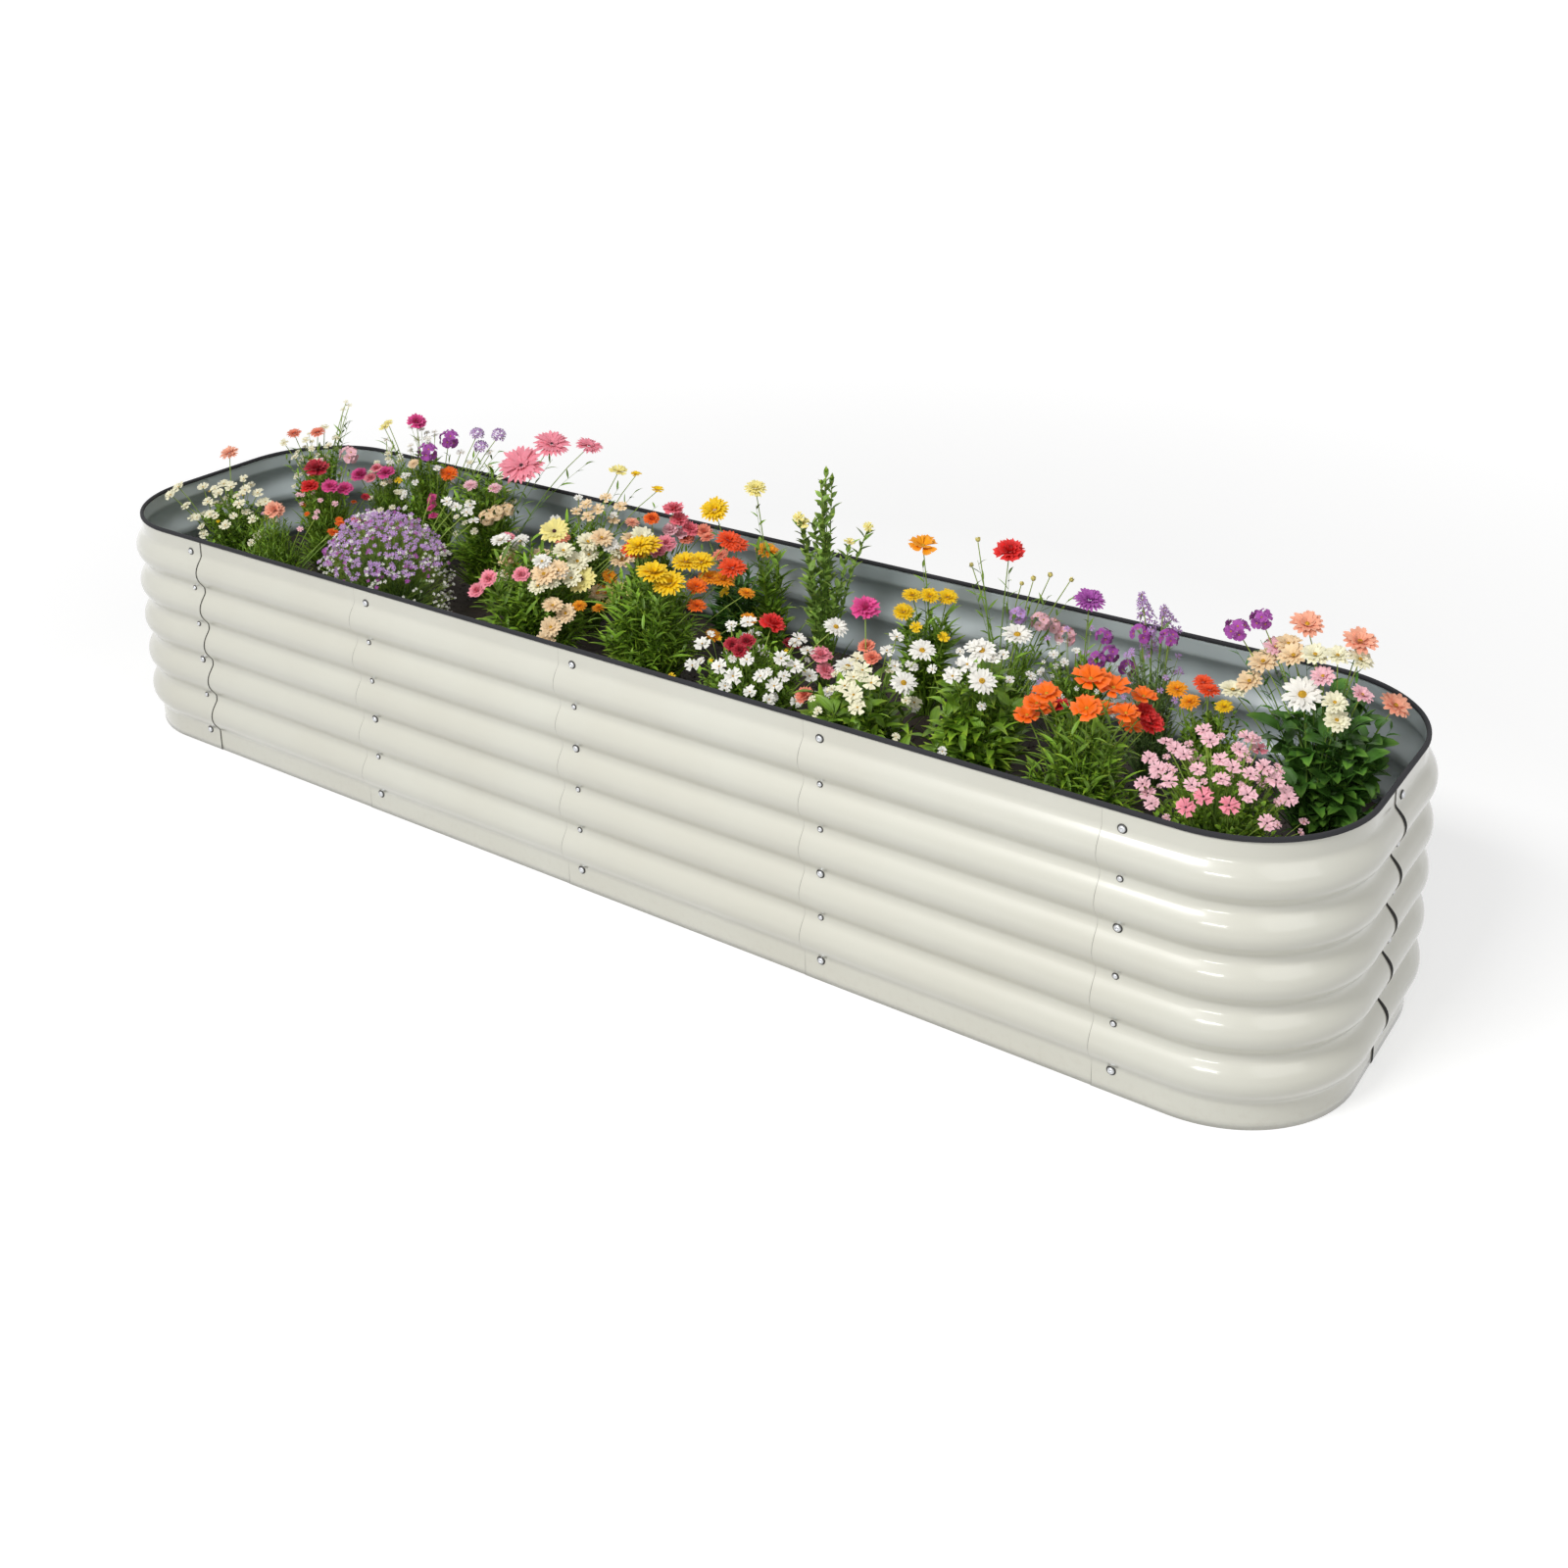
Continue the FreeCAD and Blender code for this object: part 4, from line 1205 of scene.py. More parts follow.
def dome(radius, height, sides=8, rows=3):
    """Low dome, for the grainy middle of a flower."""
    profile = []
    for row in range(rows + 1):
        turn = math.pi / 2 * row / rows
        profile.append((radius * math.cos(turn), height * math.sin(turn), 0))
    return lathe(profile, sides)


def aim(points, facing, place):
    """Points drawn round +Z, turned to look along a direction and carried to a place."""
    matrix = np.array(Vector(facing).to_track_quat("Z", "Y").to_matrix())
    return points @ matrix.T + np.asarray(place)


# Height of a flower's middle as a share of its radius, and its lift as a share of the flower's.
MIDDLE_HEIGHT = 0.7
MIDDLE_LIFT = 0.04


def add_flower(shape, rng, kind, petals, place, facing, size):
    flower = FLOWERS[kind]
    for ring in flower.rings:
        points, faces, marks = petal_ring(rng, ring, size)
        shape.add(aim(points, facing, place), faces, petals, marks)
    if flower.middle:
        radius = flower.middle * size
        points, faces = dome(radius, radius * MIDDLE_HEIGHT)
        lift = points + (0, 0, MIDDLE_LIFT * size)
        shape.add(aim(lift, facing, place), faces, flower.pollen)


GOLDEN_TURN = math.pi * (3 - math.sqrt(5))
HEAD_STRAY = 0.2
# How wide a spike is, how far over its tip it would close, and how steeply its flowers look up.
SPIKE_SPREAD = 0.75
SPIKE_TIP = 1.15
SPIKE_RISE = 0.5
# A dome of small flowers stays this much inside the head's radius.
DOME_SHARE = 0.72


def add_head(shape, rng, kind, petals, place, facing, size):
    """Small flowers over a dome, or up a spike."""
    head = HEADS[kind]
    for number in range(head.count):
        part = (number + 0.5) / head.count
        turn = number * GOLDEN_TURN + rng.uniform(-HEAD_STRAY, HEAD_STRAY)
        if head.height > 1:
            spread = SPIKE_SPREAD * (SPIKE_TIP - part)
            local = np.array([math.cos(turn) * spread, math.sin(turn) * spread,
                              (part - 1.0) * head.height])
            outward = np.array([math.cos(turn), math.sin(turn), SPIKE_RISE])
        else:
            tilt = math.acos(1 - part)
            outward = np.array([math.sin(tilt) * math.cos(turn), math.sin(tilt) * math.sin(turn),
                                math.cos(tilt)])
            local = outward * (DOME_SHARE, DOME_SHARE, head.height * DOME_SHARE)
        spot = aim(local[None] * size, facing, place)[0]
        look = aim(outward[None], facing, (0, 0, 0))[0]
        add_flower(shape, rng, head.flower, petals, spot, look, head.size * size)


def add_bloom(shape, rng, kind, *bloom):
    """One flower, or a head of small flowers."""
    (add_head if kind in HEADS else add_flower)(shape, rng, kind, *bloom)


STEM_SIDES = 5
STEM_STEPS = 6
# Where a stem's elbow is, up the stem, and how thick its tip is, as shares.
STEM_ELBOW = 0.62
STEM_TIP = 0.6
# How far a stem leans over at its elbow, and how deep it starts in the soil.
STEM_LEAN = 0.35
STEM_DEPTH = 0.004


def stem_lines(starts, ends, lean):
    """Gently bowed lines: they leave the soil upright and lean over to their flower."""
    starts, ends = np.asarray(starts, float), np.asarray(ends, float)
    part = np.linspace(0, 1, STEM_STEPS + 1)[None, :, None]
    elbow = starts + (ends - starts) * (lean, lean, STEM_ELBOW)
    return (1 - part) ** 2 * starts[:, None] + 2 * part * (1 - part) * elbow[:, None] \
        + part ** 2 * ends[:, None]


def lines_from_foot(rng, foot, foot_spread, ends):
    """Stem lines from round the foot of a clump to each end."""
    ends = np.asarray(ends)
    reach = (foot_spread, foot_spread, 0)
    starts = np.array(foot) + rng.uniform(-1, 1, (len(ends), 3)) * reach
    starts[:, 2] = foot[2] - STEM_DEPTH
    return stem_lines(starts, ends, STEM_LEAN)


def add_stems(shape, lines, radius, material):
    """Round stems along the lines, a little thinner at their tips."""
    count, steps, _ = lines.shape
    turns = np.arange(STEM_SIDES) * 2 * math.pi / STEM_SIDES
    chord = unit(lines[:, -1] - lines[:, 0])
    beside = unit(np.cross(chord, (0.31, 0.95, 0.02)))
    before = np.cross(chord, beside)
    ring = beside[:, None] * np.cos(turns)[None, :, None] \
        + before[:, None] * np.sin(turns)[None, :, None]
    taper = np.linspace(1.0, STEM_TIP, steps)[None, :, None, None]
    points = lines[:, :, None] + ring[:, None] * radius * taper
    faces = grid_faces(steps, STEM_SIDES, closed_columns=True)
    marks = np.full((count, steps, STEM_SIDES, 3), 0.5)
    marks[..., 0] = np.linspace(0, 1, steps)[None, :, None]
    shape.add(points, copied_faces(faces, count, steps * STEM_SIDES), material,
              marks.reshape(-1, 3))


# A kind of leaf: its length and half width in metres, how many grow on a shoot, its droop, its
# outline and its rows of faces.
Leaf = namedtuple("Leaf", "length width number droop outline rows", defaults=("lance", 4))
LEAVES = {
    "needle": Leaf(0.017, 0.0014, 26, 0.10, rows=2),
    "small": Leaf(0.015, 0.0036, 18, 0.18, rows=3),
    "lance": Leaf(0.044, 0.0036, 11, 0.26),
    "broad": Leaf(0.056, 0.0085, 7, 0.36),
    "lobed": Leaf(0.056, 0.0150, 6, 0.34, "lobed", 7),
    "leafy": Leaf(0.031, 0.0062, 26, 0.12),
    "grass": Leaf(0.110, 0.0022, 3, 0.36),
}
# The narrowest that a leaf's tip gets, as a share of its half width, and the least height of a
# leaf over the soil.
LEAF_TIP = 0.04
LEAF_CLEARANCE = 0.002
# How leaves differ in length and droop, and how far they are twisted.
LEAF_LENGTHS = (0.65, 1.15)
LEAF_DROOPS = (0.4, 1.5)
LEAF_TWIST = 0.25


def add_leaves(shape, rng, kind, places, directions, material, scale=1.0):
    """Many leaves at once, each from its place along its direction, drooping to its tip."""
    leaf = LEAVES[kind]
    count = len(places)
    along = np.linspace(0, 1, leaf.rows + 1)
    across = np.array([-1.0, 0.0, 1.0])
    lengths = leaf.length * scale * rng.uniform(*LEAF_LENGTHS, count)
    half = leaf.width * scale * np.interp(along, *OUTLINES[leaf.outline])
    half = np.maximum(half, leaf.width * LEAF_TIP)
    directions = unit(directions)
    twist = rng.normal(0, LEAF_TWIST, (count, 3))
    beside = np.cross(directions, (0.0, 0.0, 1.0)) + twist
    beside -= directions * np.sum(beside * directions, 1)[:, None]
    beside = unit(beside)
    above = np.cross(beside, directions)
    droop = leaf.droop * rng.uniform(*LEAF_DROOPS, count)
    reach = lengths[:, None, None] * along[None, :, None]
    middle = places[:, None] + directions[:, None] * reach
    middle[..., 2] -= (lengths * droop)[:, None] * along[None, :] ** 2
    middle[..., 2] = np.maximum(middle[..., 2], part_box("soil_fill")[1].z + LEAF_CLEARANCE)
    spread = half[None, :, None, None] * across[None, None, :, None]
    fold = half[None, :, None, None] * np.abs(across)[None, None, :, None] * LEAF_FOLD
    points = middle[:, :, None] + beside[:, None, None] * spread + above[:, None, None] * fold
    faces = grid_faces(leaf.rows + 1, 3)
    shape.add(points, copied_faces(faces, count, (leaf.rows + 1) * 3), material,
              growth_marks(rng, along, across, count))


SHOOT_RADIUS = 0.0009
# Turn from one leaf to the next up a shoot, in radians, and how far the leaves point outwards,
# upwards and along the shoot.
LEAF_TURN = 2.4
LEAF_OUTWARD = 0.85
LEAF_UPWARD = 0.15
LEAF_AHEAD = 0.75


def add_shoots(shape, rng, kind, tips, foot, foot_spread, material, first=0.22, scale=1.0):
    """Leafy shoots from the soil at the foot to each tip."""
    leaf = LEAVES[kind]
    lines = lines_from_foot(rng, foot, foot_spread, tips)
    add_stems(shape, lines, SHOOT_RADIUS * scale, material)
    part = first + (1 - first) * (np.arange(leaf.number) + 0.5) / leaf.number
    knot = part * STEM_STEPS
    low = np.minimum(knot.astype(int), STEM_STEPS - 1)
    blend = (knot - low)[None, :, None]
    places = lines[:, low] * (1 - blend) + lines[:, low + 1] * blend
    ahead = unit(lines[:, low + 1] - lines[:, low])
    turn = np.arange(leaf.number) * LEAF_TURN + rng.uniform(0, ANY_TURN, (len(lines), 1))
    outward = np.stack([np.cos(turn), np.sin(turn), np.full_like(turn, LEAF_UPWARD)], -1)
    directions = ahead * LEAF_AHEAD + outward * LEAF_OUTWARD
    add_leaves(shape, rng, kind, places.reshape(-1, 3), directions.reshape(-1, 3), material, scale)


BLADE_LEANS = (0.05, 0.75)
BLADE_DEPTH = 0.003
BLADE_FOOT = 0.35


def add_blades(shape, rng, count, foot, spread, height, material):
    """Grassy blades that fan out of the foot."""
    turn = rng.uniform(0, 2 * math.pi, count)
    lean = rng.uniform(*BLADE_LEANS, count)
    places = np.stack([foot[0] + np.cos(turn) * spread * BLADE_FOOT * rng.random(count),
                       foot[1] + np.sin(turn) * spread * BLADE_FOOT * rng.random(count),
                       np.full(count, foot[2] - BLADE_DEPTH)], 1)
    directions = np.stack([np.cos(turn) * lean, np.sin(turn) * lean, np.ones(count)], 1)
    scale = height / LEAVES["grass"].length
    add_leaves(shape, rng, "grass", places, directions, material, scale)


# ----- Clumps of flowers -----


def camera_axes():
    """The camera's right, up and backward directions as rows."""
    studio = settings().studio
    bearing, rise, roll = studio.camera_bearing, studio.camera_height, studio.camera_roll
    back = np.array([math.sin(bearing) * math.cos(rise), -math.cos(bearing) * math.cos(rise),
                     math.sin(rise)])
    right = np.cross((0, 0, 1), back)
    right /= np.linalg.norm(right)
    up = np.cross(back, right)
    cos, sin = math.cos(roll), math.sin(roll)
    return np.array([cos * right + sin * up, cos * up - sin * right, back])


def sight_line(photo_x, photo_y):
    """Where the line of sight through a spot of the 1600-pixel picture starts and leads."""
    studio = settings().studio
    focal = studio.lens / SENSOR * PHOTO_SIDE
    centre_x = PHOTO_SIDE * (0.5 - studio.shift_right)
    centre_y = PHOTO_SIDE * (0.5 + studio.shift_up)
    look = np.array([(photo_x - centre_x) / focal, (centre_y - photo_y) / focal, -1.0])
    look = look @ camera_axes()
    return np.array(studio.camera_place), look / np.linalg.norm(look)


def meet(middle, radii, photo_x, photo_y):
    """Where a line of sight first meets an egg-shaped clump, or passes it nearest."""
    start, look = sight_line(photo_x, photo_y)
    near = (start - middle) / radii
    step = look / radii
    a, b, c = step @ step, near @ step, near @ near - 1
    return start + look * (-b - math.sqrt(max(b * b - a * c, 0.0))) / a


# A clump: its leaf and green, how many leafy shoots and grassy blades it has, the part of its
# height that its leaves fill, and its blooms. A bloom is a kind, a colour, a radius in millimetres
# and its spots in the picture. Strewn blooms are a kind, a colour, a radius in millimetres, a
# number, and the lowest and highest part of the clump that they grow on.
Clump = namedtuple("Clump", "leaf green shoots blades cover blooms strewn", defaults=((),))

CLUMPS = {
    "cream_violas": Clump("small", "fresh", 128, 0, 0.84, (
        ("phlox", "cream", 12.5, ((174, 505), (207, 497), (223, 503), (212, 512), (214, 525),
                                (244, 514), (258, 530), (263, 503), (236, 497), (190, 516),
                                (197, 528), (230, 536), (271, 512), (182, 497), (250, 500))),
        ("mum", "salmon", 20, ((234, 462),)),
    ), (("phlox", "cream", 9.5, 26, 0.45, 1.0), ("star", "yellow", 5, 10, 0.4, 0.9))),
    "salmon_cushion": Clump("needle", "fresh", 170, 90, 0.92, (
        ("carnation", "salmon", 20.5, ((280, 521),)),
        ("mum", "orange", 12, ((347, 534), (340, 543), (363, 531))),
        ("phlox", "blush", 6.5, ((322, 528), (306, 540))),
    )),
    "coral_stalks": Clump("small", "fresh", 102, 50, 0.80, (
        ("mum", "coral", 16.5, ((300, 442), (324, 441))),
        ("phlox", "cream", 9.5, ((312, 449), (331, 436), (343, 447), (290, 452), (318, 458),
                                (335, 455), (301, 466), (322, 470))),
        ("star", "cream", 7, ((353, 410), (350, 418), (356, 414))),
    ), (("phlox", "cream", 6.5, 26, 0.4, 0.95),)),
    "red_carnations": Clump("needle", "fresh", 179, 120, 0.82, (
        ("carnation", "dark_red", 28.5, ((323, 479),)),
        ("carnation", "red", 20.5, ((316, 497),)),
        ("carnation", "magenta", 19, ((337, 497), (352, 499))),
        ("posy", "blush", 20, ((356, 464),)),
        ("mum", "dark_red", 9.5, ((373, 507),)),
    ), (("phlox", "blush", 6.5, 10, 0.5, 0.95), ("mum", "orange", 7.5, 5, 0.5, 0.9))),
    "rose_pinks": Clump("needle", "fresh", 162, 110, 0.80, (
        ("carnation", "magenta", 19, ((367, 485), (394, 483))),
        ("carnation", "pink", 14, ((378, 488), (384, 478))),
        ("phlox", "yellow", 9.5, ((407, 490),)),
        ("phlox", "white", 9, ((394, 449), (400, 458), (432, 491), (408, 466), (398, 472))),
    ), (("phlox", "cream", 7.5, 20, 0.4, 0.95),)),
    "purple_phlox": Clump("small", "fresh", 145, 50, 0.80, (
        ("posy", "purple", 22, ((436, 461), (458, 448))),
        ("carnation", "magenta", 21.5, ((425, 431),)),
        ("phlox", "pale_yellow", 11, ((396, 432), (392, 436))),
        ("truss", "lilac", 17.5, ((487, 443), (509, 444), (491, 456))),
        ("mum", "orange", 18, ((458, 483),)),
        ("mum", "peach", 12, ((422, 473),)),
        ("phlox", "white", 9, ((470, 462), (478, 472), (446, 478), (500, 462))),
    ), (("phlox", "white", 7.5, 22, 0.45, 0.95),)),
    "lavender_mound": Clump("needle", "dusty", 221, 0, 0.90, (
        ("spike", "magenta", 8.5, ((440, 504),)),
        ("phlox", "white", 12, ((465, 517), (476, 523), (456, 512), (483, 532))),
    ), (("star", "lilac", 5.5, 430, 0.62, 1.0), ("star", "purple", 4.5, 110, 0.56, 1.0),
        ("star", "white", 4, 130, 0.60, 1.0), ("star", "white", 3.2, 460, 0.10, 0.72))),
    "pink_gerberas": Clump("lance", "fresh", 145, 90, 0.72, (
        ("gerbera", "pink", 47.5, ((532, 475),)),
        ("gerbera", "pink", 35, ((563, 453),)),
        ("gerbera", "pink", 29, ((601, 455),)),
        ("mum", "blush", 14, ((480, 495), (505, 498))),
        ("posy", "peach", 16, ((507, 523), (497, 528), (517, 520))),
        ("phlox", "white", 12, ((567, 531), (480, 516))),
        ("mum", "magenta", 10.5, ((441, 508), (440, 518), (442, 526))),
    ), (("phlox", "cream", 8, 14, 0.35, 0.8),)),
    "yellow_stems": Clump("lance", "fresh", 19, 30, 0.62, (
        ("cosmos", "pale_yellow", 18.5, ((631, 481),)),
        ("cosmos", "yellow", 12, ((649, 484), (671, 500))),
    )),
    "apricot_cluster": Clump("small", "fresh", 85, 30, 0.80, (
        ("phlox", "peach", 13.5, ((618, 508), (633, 517), (598, 515), (600, 527), (610, 520),
                                (588, 522), (626, 530))),
        ("phlox", "white", 9, ((626, 526), (590, 508))),
        ("mum", "coral", 15.5, ((574, 549),)),
        ("mum", "salmon", 14.5, ((645, 533),)),
    )),
    "peach_daisies": Clump("lance", "fresh", 162, 110, 0.86, (
        ("dahlia", "peach", 22.5, ((614, 549), (645, 551))),
        ("dahlia", "cream", 21, ((600, 553), (575, 562), (589, 573), (629, 562), (655, 548))),
        ("dahlia", "white", 18.5, ((553, 573), (660, 556), (571, 583), (622, 556))),
        ("dahlia", "cream", 18.5, ((549, 598), (562, 593), (601, 566), (583, 590))),
        ("dark_daisy", "pale_yellow", 30.5, ((593, 591), (633, 609))),
        ("dahlia", "peach", 23.5, ((635, 571), (569, 582), (555, 586))),
        ("mum", "golden", 14.5, ((613, 602), (622, 588), (591, 618))),
        ("dahlia", "peach", 18.5, ((564, 618), (577, 626), (562, 640), (557, 654))),
        ("carnation", "pink", 17, ((532, 587), (499, 591), (487, 603))),
    )),
    "rose_cluster": Clump("small", "fresh", 102, 50, 0.72, (
        ("carnation", "pink", 19, ((664, 558), (680, 555), (672, 562))),
        ("carnation", "rose", 20.5, ((693, 531), (687, 520), (704, 540))),
        ("carnation", "coral", 19, ((718, 543), (700, 550))),
        ("carnation", "orange", 17, ((665, 530),)),
        ("carnation", "blush", 17, ((684, 541), (696, 545))),
    )),
    "yellow_mums": Clump("lance", "fresh", 145, 120, 0.86, (
        ("mum", "yellow", 28.5, ((667, 584), (700, 573), (715, 573), (683, 595))),
        ("mum", "golden", 21.5, ((724, 589), (738, 591))),
        ("mum", "orange", 18, ((711, 598), (711, 618))),
        ("mum", "golden", 15.5, ((762, 605), (728, 648), (764, 631))),
        ("mum", "vermilion", 25, ((747, 579), (744, 551))),
        ("phlox", "yellow", 9, ((685, 691),)),
    )),
    "orange_zinnias": Clump("lance", "deep", 68, 70, 0.60, (
        ("mum", "vermilion", 24, ((752, 556),)),
        ("mum", "yellow", 26, ((729, 520),)),
        ("mum", "golden", 23, ((783, 562),)),
        ("mum", "coral", 15.5, ((722, 548), (735, 566))),
    )),
    "tall_stalk": Clump("lance", "fresh", 29, 24, 0.66, (
        ("mum", "pale_yellow", 20.5, ((771, 498),)),
        ("phlox", "yellow", 11, ((740, 604),)),
    )),
    "white_verbena": Clump("small", "fresh", 187, 40, 0.88, (
        ("carnation", "red", 26.5, ((788, 637),)),
        ("carnation", "dark_red", 15.5, ((747, 658), (762, 655), (755, 664))),
        ("phlox", "white", 14, ((762, 673), (734, 680), (811, 680), (815, 652), (776, 690),
                                (748, 690), (797, 672), (790, 700), (824, 664), (826, 690))),
        ("daisy", "white", 21, ((853, 640),)),
        ("phlox", "white", 11, ((740, 700), (812, 716), (844, 707), (785, 714), (765, 706),
                                (800, 690))),
        ("carnation", "pink", 19, ((838, 669), (842, 685))),
    ), (("phlox", "white", 8, 14, 0.35, 0.95), ("star", "yellow", 4.5, 12, 0.4, 0.9))),
    "leafy_stalk": Clump("leafy", "stem", 9, 16, 0.99, (
        ("phlox", "pale_yellow", 11, ((815, 528), (867, 553), (886, 538), (820, 534))),
        ("bud", "fresh", 6.5, ((843, 482), (849, 490), (838, 494))),
    )),
    "white_stocks": Clump("broad", "fresh", 85, 40, 0.86, (
        ("phlox", "cream", 15, ((871, 691), (871, 709), (875, 722), (889, 697), (862, 700),
                                (880, 684))),
        ("carnation", "magenta", 23, ((883, 621),)),
        ("carnation", "coral", 17, ((884, 660), (890, 672))),
        ("daisy", "white", 24, ((922, 697), (941, 664))),
        ("phlox", "white", 12.5, ((913, 680), (915, 650), (930, 680), (905, 664))),
    ), (("phlox", "cream", 8, 16, 0.4, 0.9),)),
    "yellow_daisies": Clump("lance", "fresh", 51, 50, 0.55, (
        ("cosmos", "golden", 25, ((942, 557),)),
        ("mum", "yellow", 17, ((949, 608), (967, 609), (931, 607))),
        ("mum", "yellow", 18, ((922, 624),)),
        ("phlox", "yellow", 10.5, ((963, 650), (935, 640))),
    )),
    "white_daisies": Clump("broad", "fresh", 81, 70, 0.84, (
        ("daisy", "white", 24, ((1002, 695), (1002, 664))),
        ("phlox", "white", 15, ((987, 678), (994, 660), (1012, 672), (972, 690))),
        ("daisy", "white", 25.5, ((1038, 648),)),
        ("phlox", "white", 9.5, ((1052, 690), (1024, 668))),
    ), (("phlox", "white", 8, 10, 0.4, 0.9),)),
    "red_ranunculus": Clump("needle", "fresh", 51, 90, 0.45, (
        ("carnation", "red", 26, ((1030, 563),)),
        ("bud", "pale_yellow", 7, ((998, 553), (992, 578), (1042, 597), (1071, 589),
                                   (1092, 593), (1054, 593))),
        ("posy", "lilac", 15, ((1039, 628),)),
        ("posy", "blush", 17, ((1073, 639), (1087, 649), (1062, 634))),
    )),
    "purple_scabious": Clump("small", "fresh", 102, 60, 0.55, (
        ("mum", "purple", 26.5, ((1112, 612),)),
        ("posy", "purple", 14.5, ((1127, 649), (1133, 667), (1120, 673), (1151, 682))),
        ("phlox", "white", 8, ((1075, 668), (1062, 686), (1098, 664), (1086, 676))),
    ), (("star", "white", 5, 40, 0.2, 0.6), ("star", "lilac", 6, 20, 0.3, 0.7))),
    "orange_poppies": Clump("lance", "fresh", 94, 120, 0.84, (
        ("cosmos", "orange", 25, ((1113, 693), (1136, 702), (1109, 723))),
        ("cosmos", "orange", 20, ((1058, 718), (1048, 730), (1068, 708))),
        ("cosmos", "orange", 19, ((1167, 711), (1149, 728))),
        ("carnation", "red", 19, ((1175, 738), (1168, 727))),
    )),
    "purple_spikes": Clump("needle", "dusty", 94, 50, 0.60, (
        ("spike", "lilac", 16, ((1164, 606), (1187, 620), (1176, 640))),
        ("posy", "purple", 15.5, ((1193, 651), (1164, 647))),
    ), (("star", "lilac", 6, 24, 0.4, 0.8),)),
    "orange_marigolds": Clump("small", "fresh", 111, 40, 0.82, (
        ("mum", "golden", 17, ((1201, 703), (1214, 716))),
        ("mum", "vermilion", 17, ((1228, 696), (1234, 704))),
        ("mum", "yellow", 13, ((1249, 721),)),
    )),
    "peach_dahlias": Clump("lobed", "deep", 54, 90, 0.64, (
        ("dahlia", "salmon", 24.5, ((1334, 637), (1388, 655), (1424, 720))),
        ("dahlia", "peach", 21, ((1289, 675), (1320, 669), (1275, 695), (1315, 657))),
        ("dahlia", "cream", 19.5, ((1365, 669), (1388, 673), (1362, 717), (1364, 735),
                                 (1258, 704), (1342, 668))),
        ("daisy", "white", 26.5, ((1329, 709),)),
        ("dahlia", "blush", 17, ((1390, 709), (1302, 660), (1350, 690))),
        ("posy", "purple", 17, ((1262, 642), (1287, 632))),
    )),
    "pink_verbena": Clump("small", "fresh", 196, 50, 0.88, (
        ("verbena", "blush", 12.5, ((1190, 757), (1235, 755), (1173, 774), (1208, 770), (1265, 765),
                                  (1245, 775), (1290, 783), (1302, 796), (1166, 800),
                                  (1193, 797), (1246, 795), (1273, 811), (1315, 815),
                                  (1293, 840), (1175, 820), (1222, 785), (1258, 783),
                                  (1276, 790), (1216, 801), (1182, 785), (1228, 745))),
        ("verbena", "pink", 15, ((1228, 813), (1254, 822), (1210, 824))),
    ), (("phlox", "blush", 6.5, 36, 0.45, 1.0),)),
}

# Which way blooms turn on average, and how much further up some kinds look.
FACING_SUN = np.array([0.32, -0.62, 0.72])
LOOKS_UP = {
    "cosmos": 1.3, "mum": 1.0, "carnation": 0.5, "dahlia": 0.5, "phlox": 0.3, "verbena": 0.4,
    "gerbera": 0.15,
}
# How much a bloom faces away from its clump's middle, and how far it strays.
FACING_AWAY = 0.55
FACING_STRAY = 0.20
# The egg that a clump fills: its middle and its half height as shares of the clump's height.
EGG_MIDDLE = 0.38
EGG_HALF = 0.62


def clump_body(node):
    """Foot on the soil, middle and half sizes of the egg that a clump fills."""
    low, high = (np.array(corner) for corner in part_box(node))
    foot = np.array([(low[0] + high[0]) / 2, (low[1] + high[1]) / 2, low[2]])
    tall = high[2] - low[2]
    radii = np.array([(high[0] - low[0]) / 2, (high[1] - low[1]) / 2, tall * EGG_HALF])
    return foot, foot + (0, 0, tall * EGG_MIDDLE), radii, tall


def bloom_facing(rng, kind, spot, middle):
    """Which way a bloom looks: out of its clump and towards the sun."""
    away = spot - middle
    away /= np.linalg.norm(away) + SMALL_SHARE
    upward = (0.0, 0.0, LOOKS_UP.get(kind, 0.0))
    facing = away * FACING_AWAY + FACING_SUN + upward + rng.normal(0, FACING_STRAY, 3)
    return facing / np.linalg.norm(facing)


def any_way(rng):
    """Random direction."""
    way = rng.normal(size=3)
    return way / np.linalg.norm(way)


# Hidden spots look at least this far up and at most this far towards the camera, and they and the
# strewn ones lie at these shares of the way out from a clump's middle.
FAR_LOWEST = 0.15
FAR_TURN = 0.05
FAR_DEPTH = 0.96
STREWN_DEPTHS = (0.84, 1.02)


def far_spots(rng, middle, radii, count):
    """Spots on the side of a clump that the picture doesn't show."""
    back = camera_axes()[2]
    spots = []
    while len(spots) < count:
        way = any_way(rng)
        if way[2] > FAR_LOWEST and way @ back < FAR_TURN:
            spots.append(middle + way * radii * FAR_DEPTH)
    return spots


def strewn_spots(rng, foot, middle, radii, tall, count, lowest, highest):
    """Spots all over a clump, between two parts of its height."""
    spots = []
    while len(spots) < count:
        spot = middle + any_way(rng) * radii * rng.uniform(*STREWN_DEPTHS)
        if lowest <= (spot[2] - foot[2]) / tall <= highest:
            spots.append(spot)
    return spots


MM_IN_METRE = 1000
# How blooms differ in size, and how far under a bloom its stem ends.
BLOOM_SIZES = (0.92, 1.08)
STREWN_SIZES = (0.85, 1.1)
STEM_UNDER_BLOOM = 0.002
FLOWER_STEM = 0.0014
STREWN_STEM = 0.0007
# A clump is a mound, not a stalk, where its radius is more than this share of its height.
MOUND_SHARE = 0.35
# Stems start round the foot within this share of the clump's radius.
FOOT_SHARE = 0.26
# Tips of leafy shoots start at this part of a clump's height, and lie at these parts of its depth.
LOWEST_TIP = 0.22
TIP_DEPTHS = (0.50, 0.88)
TALLEST_BLADE = 0.14
BLADE_SHARE = 0.8


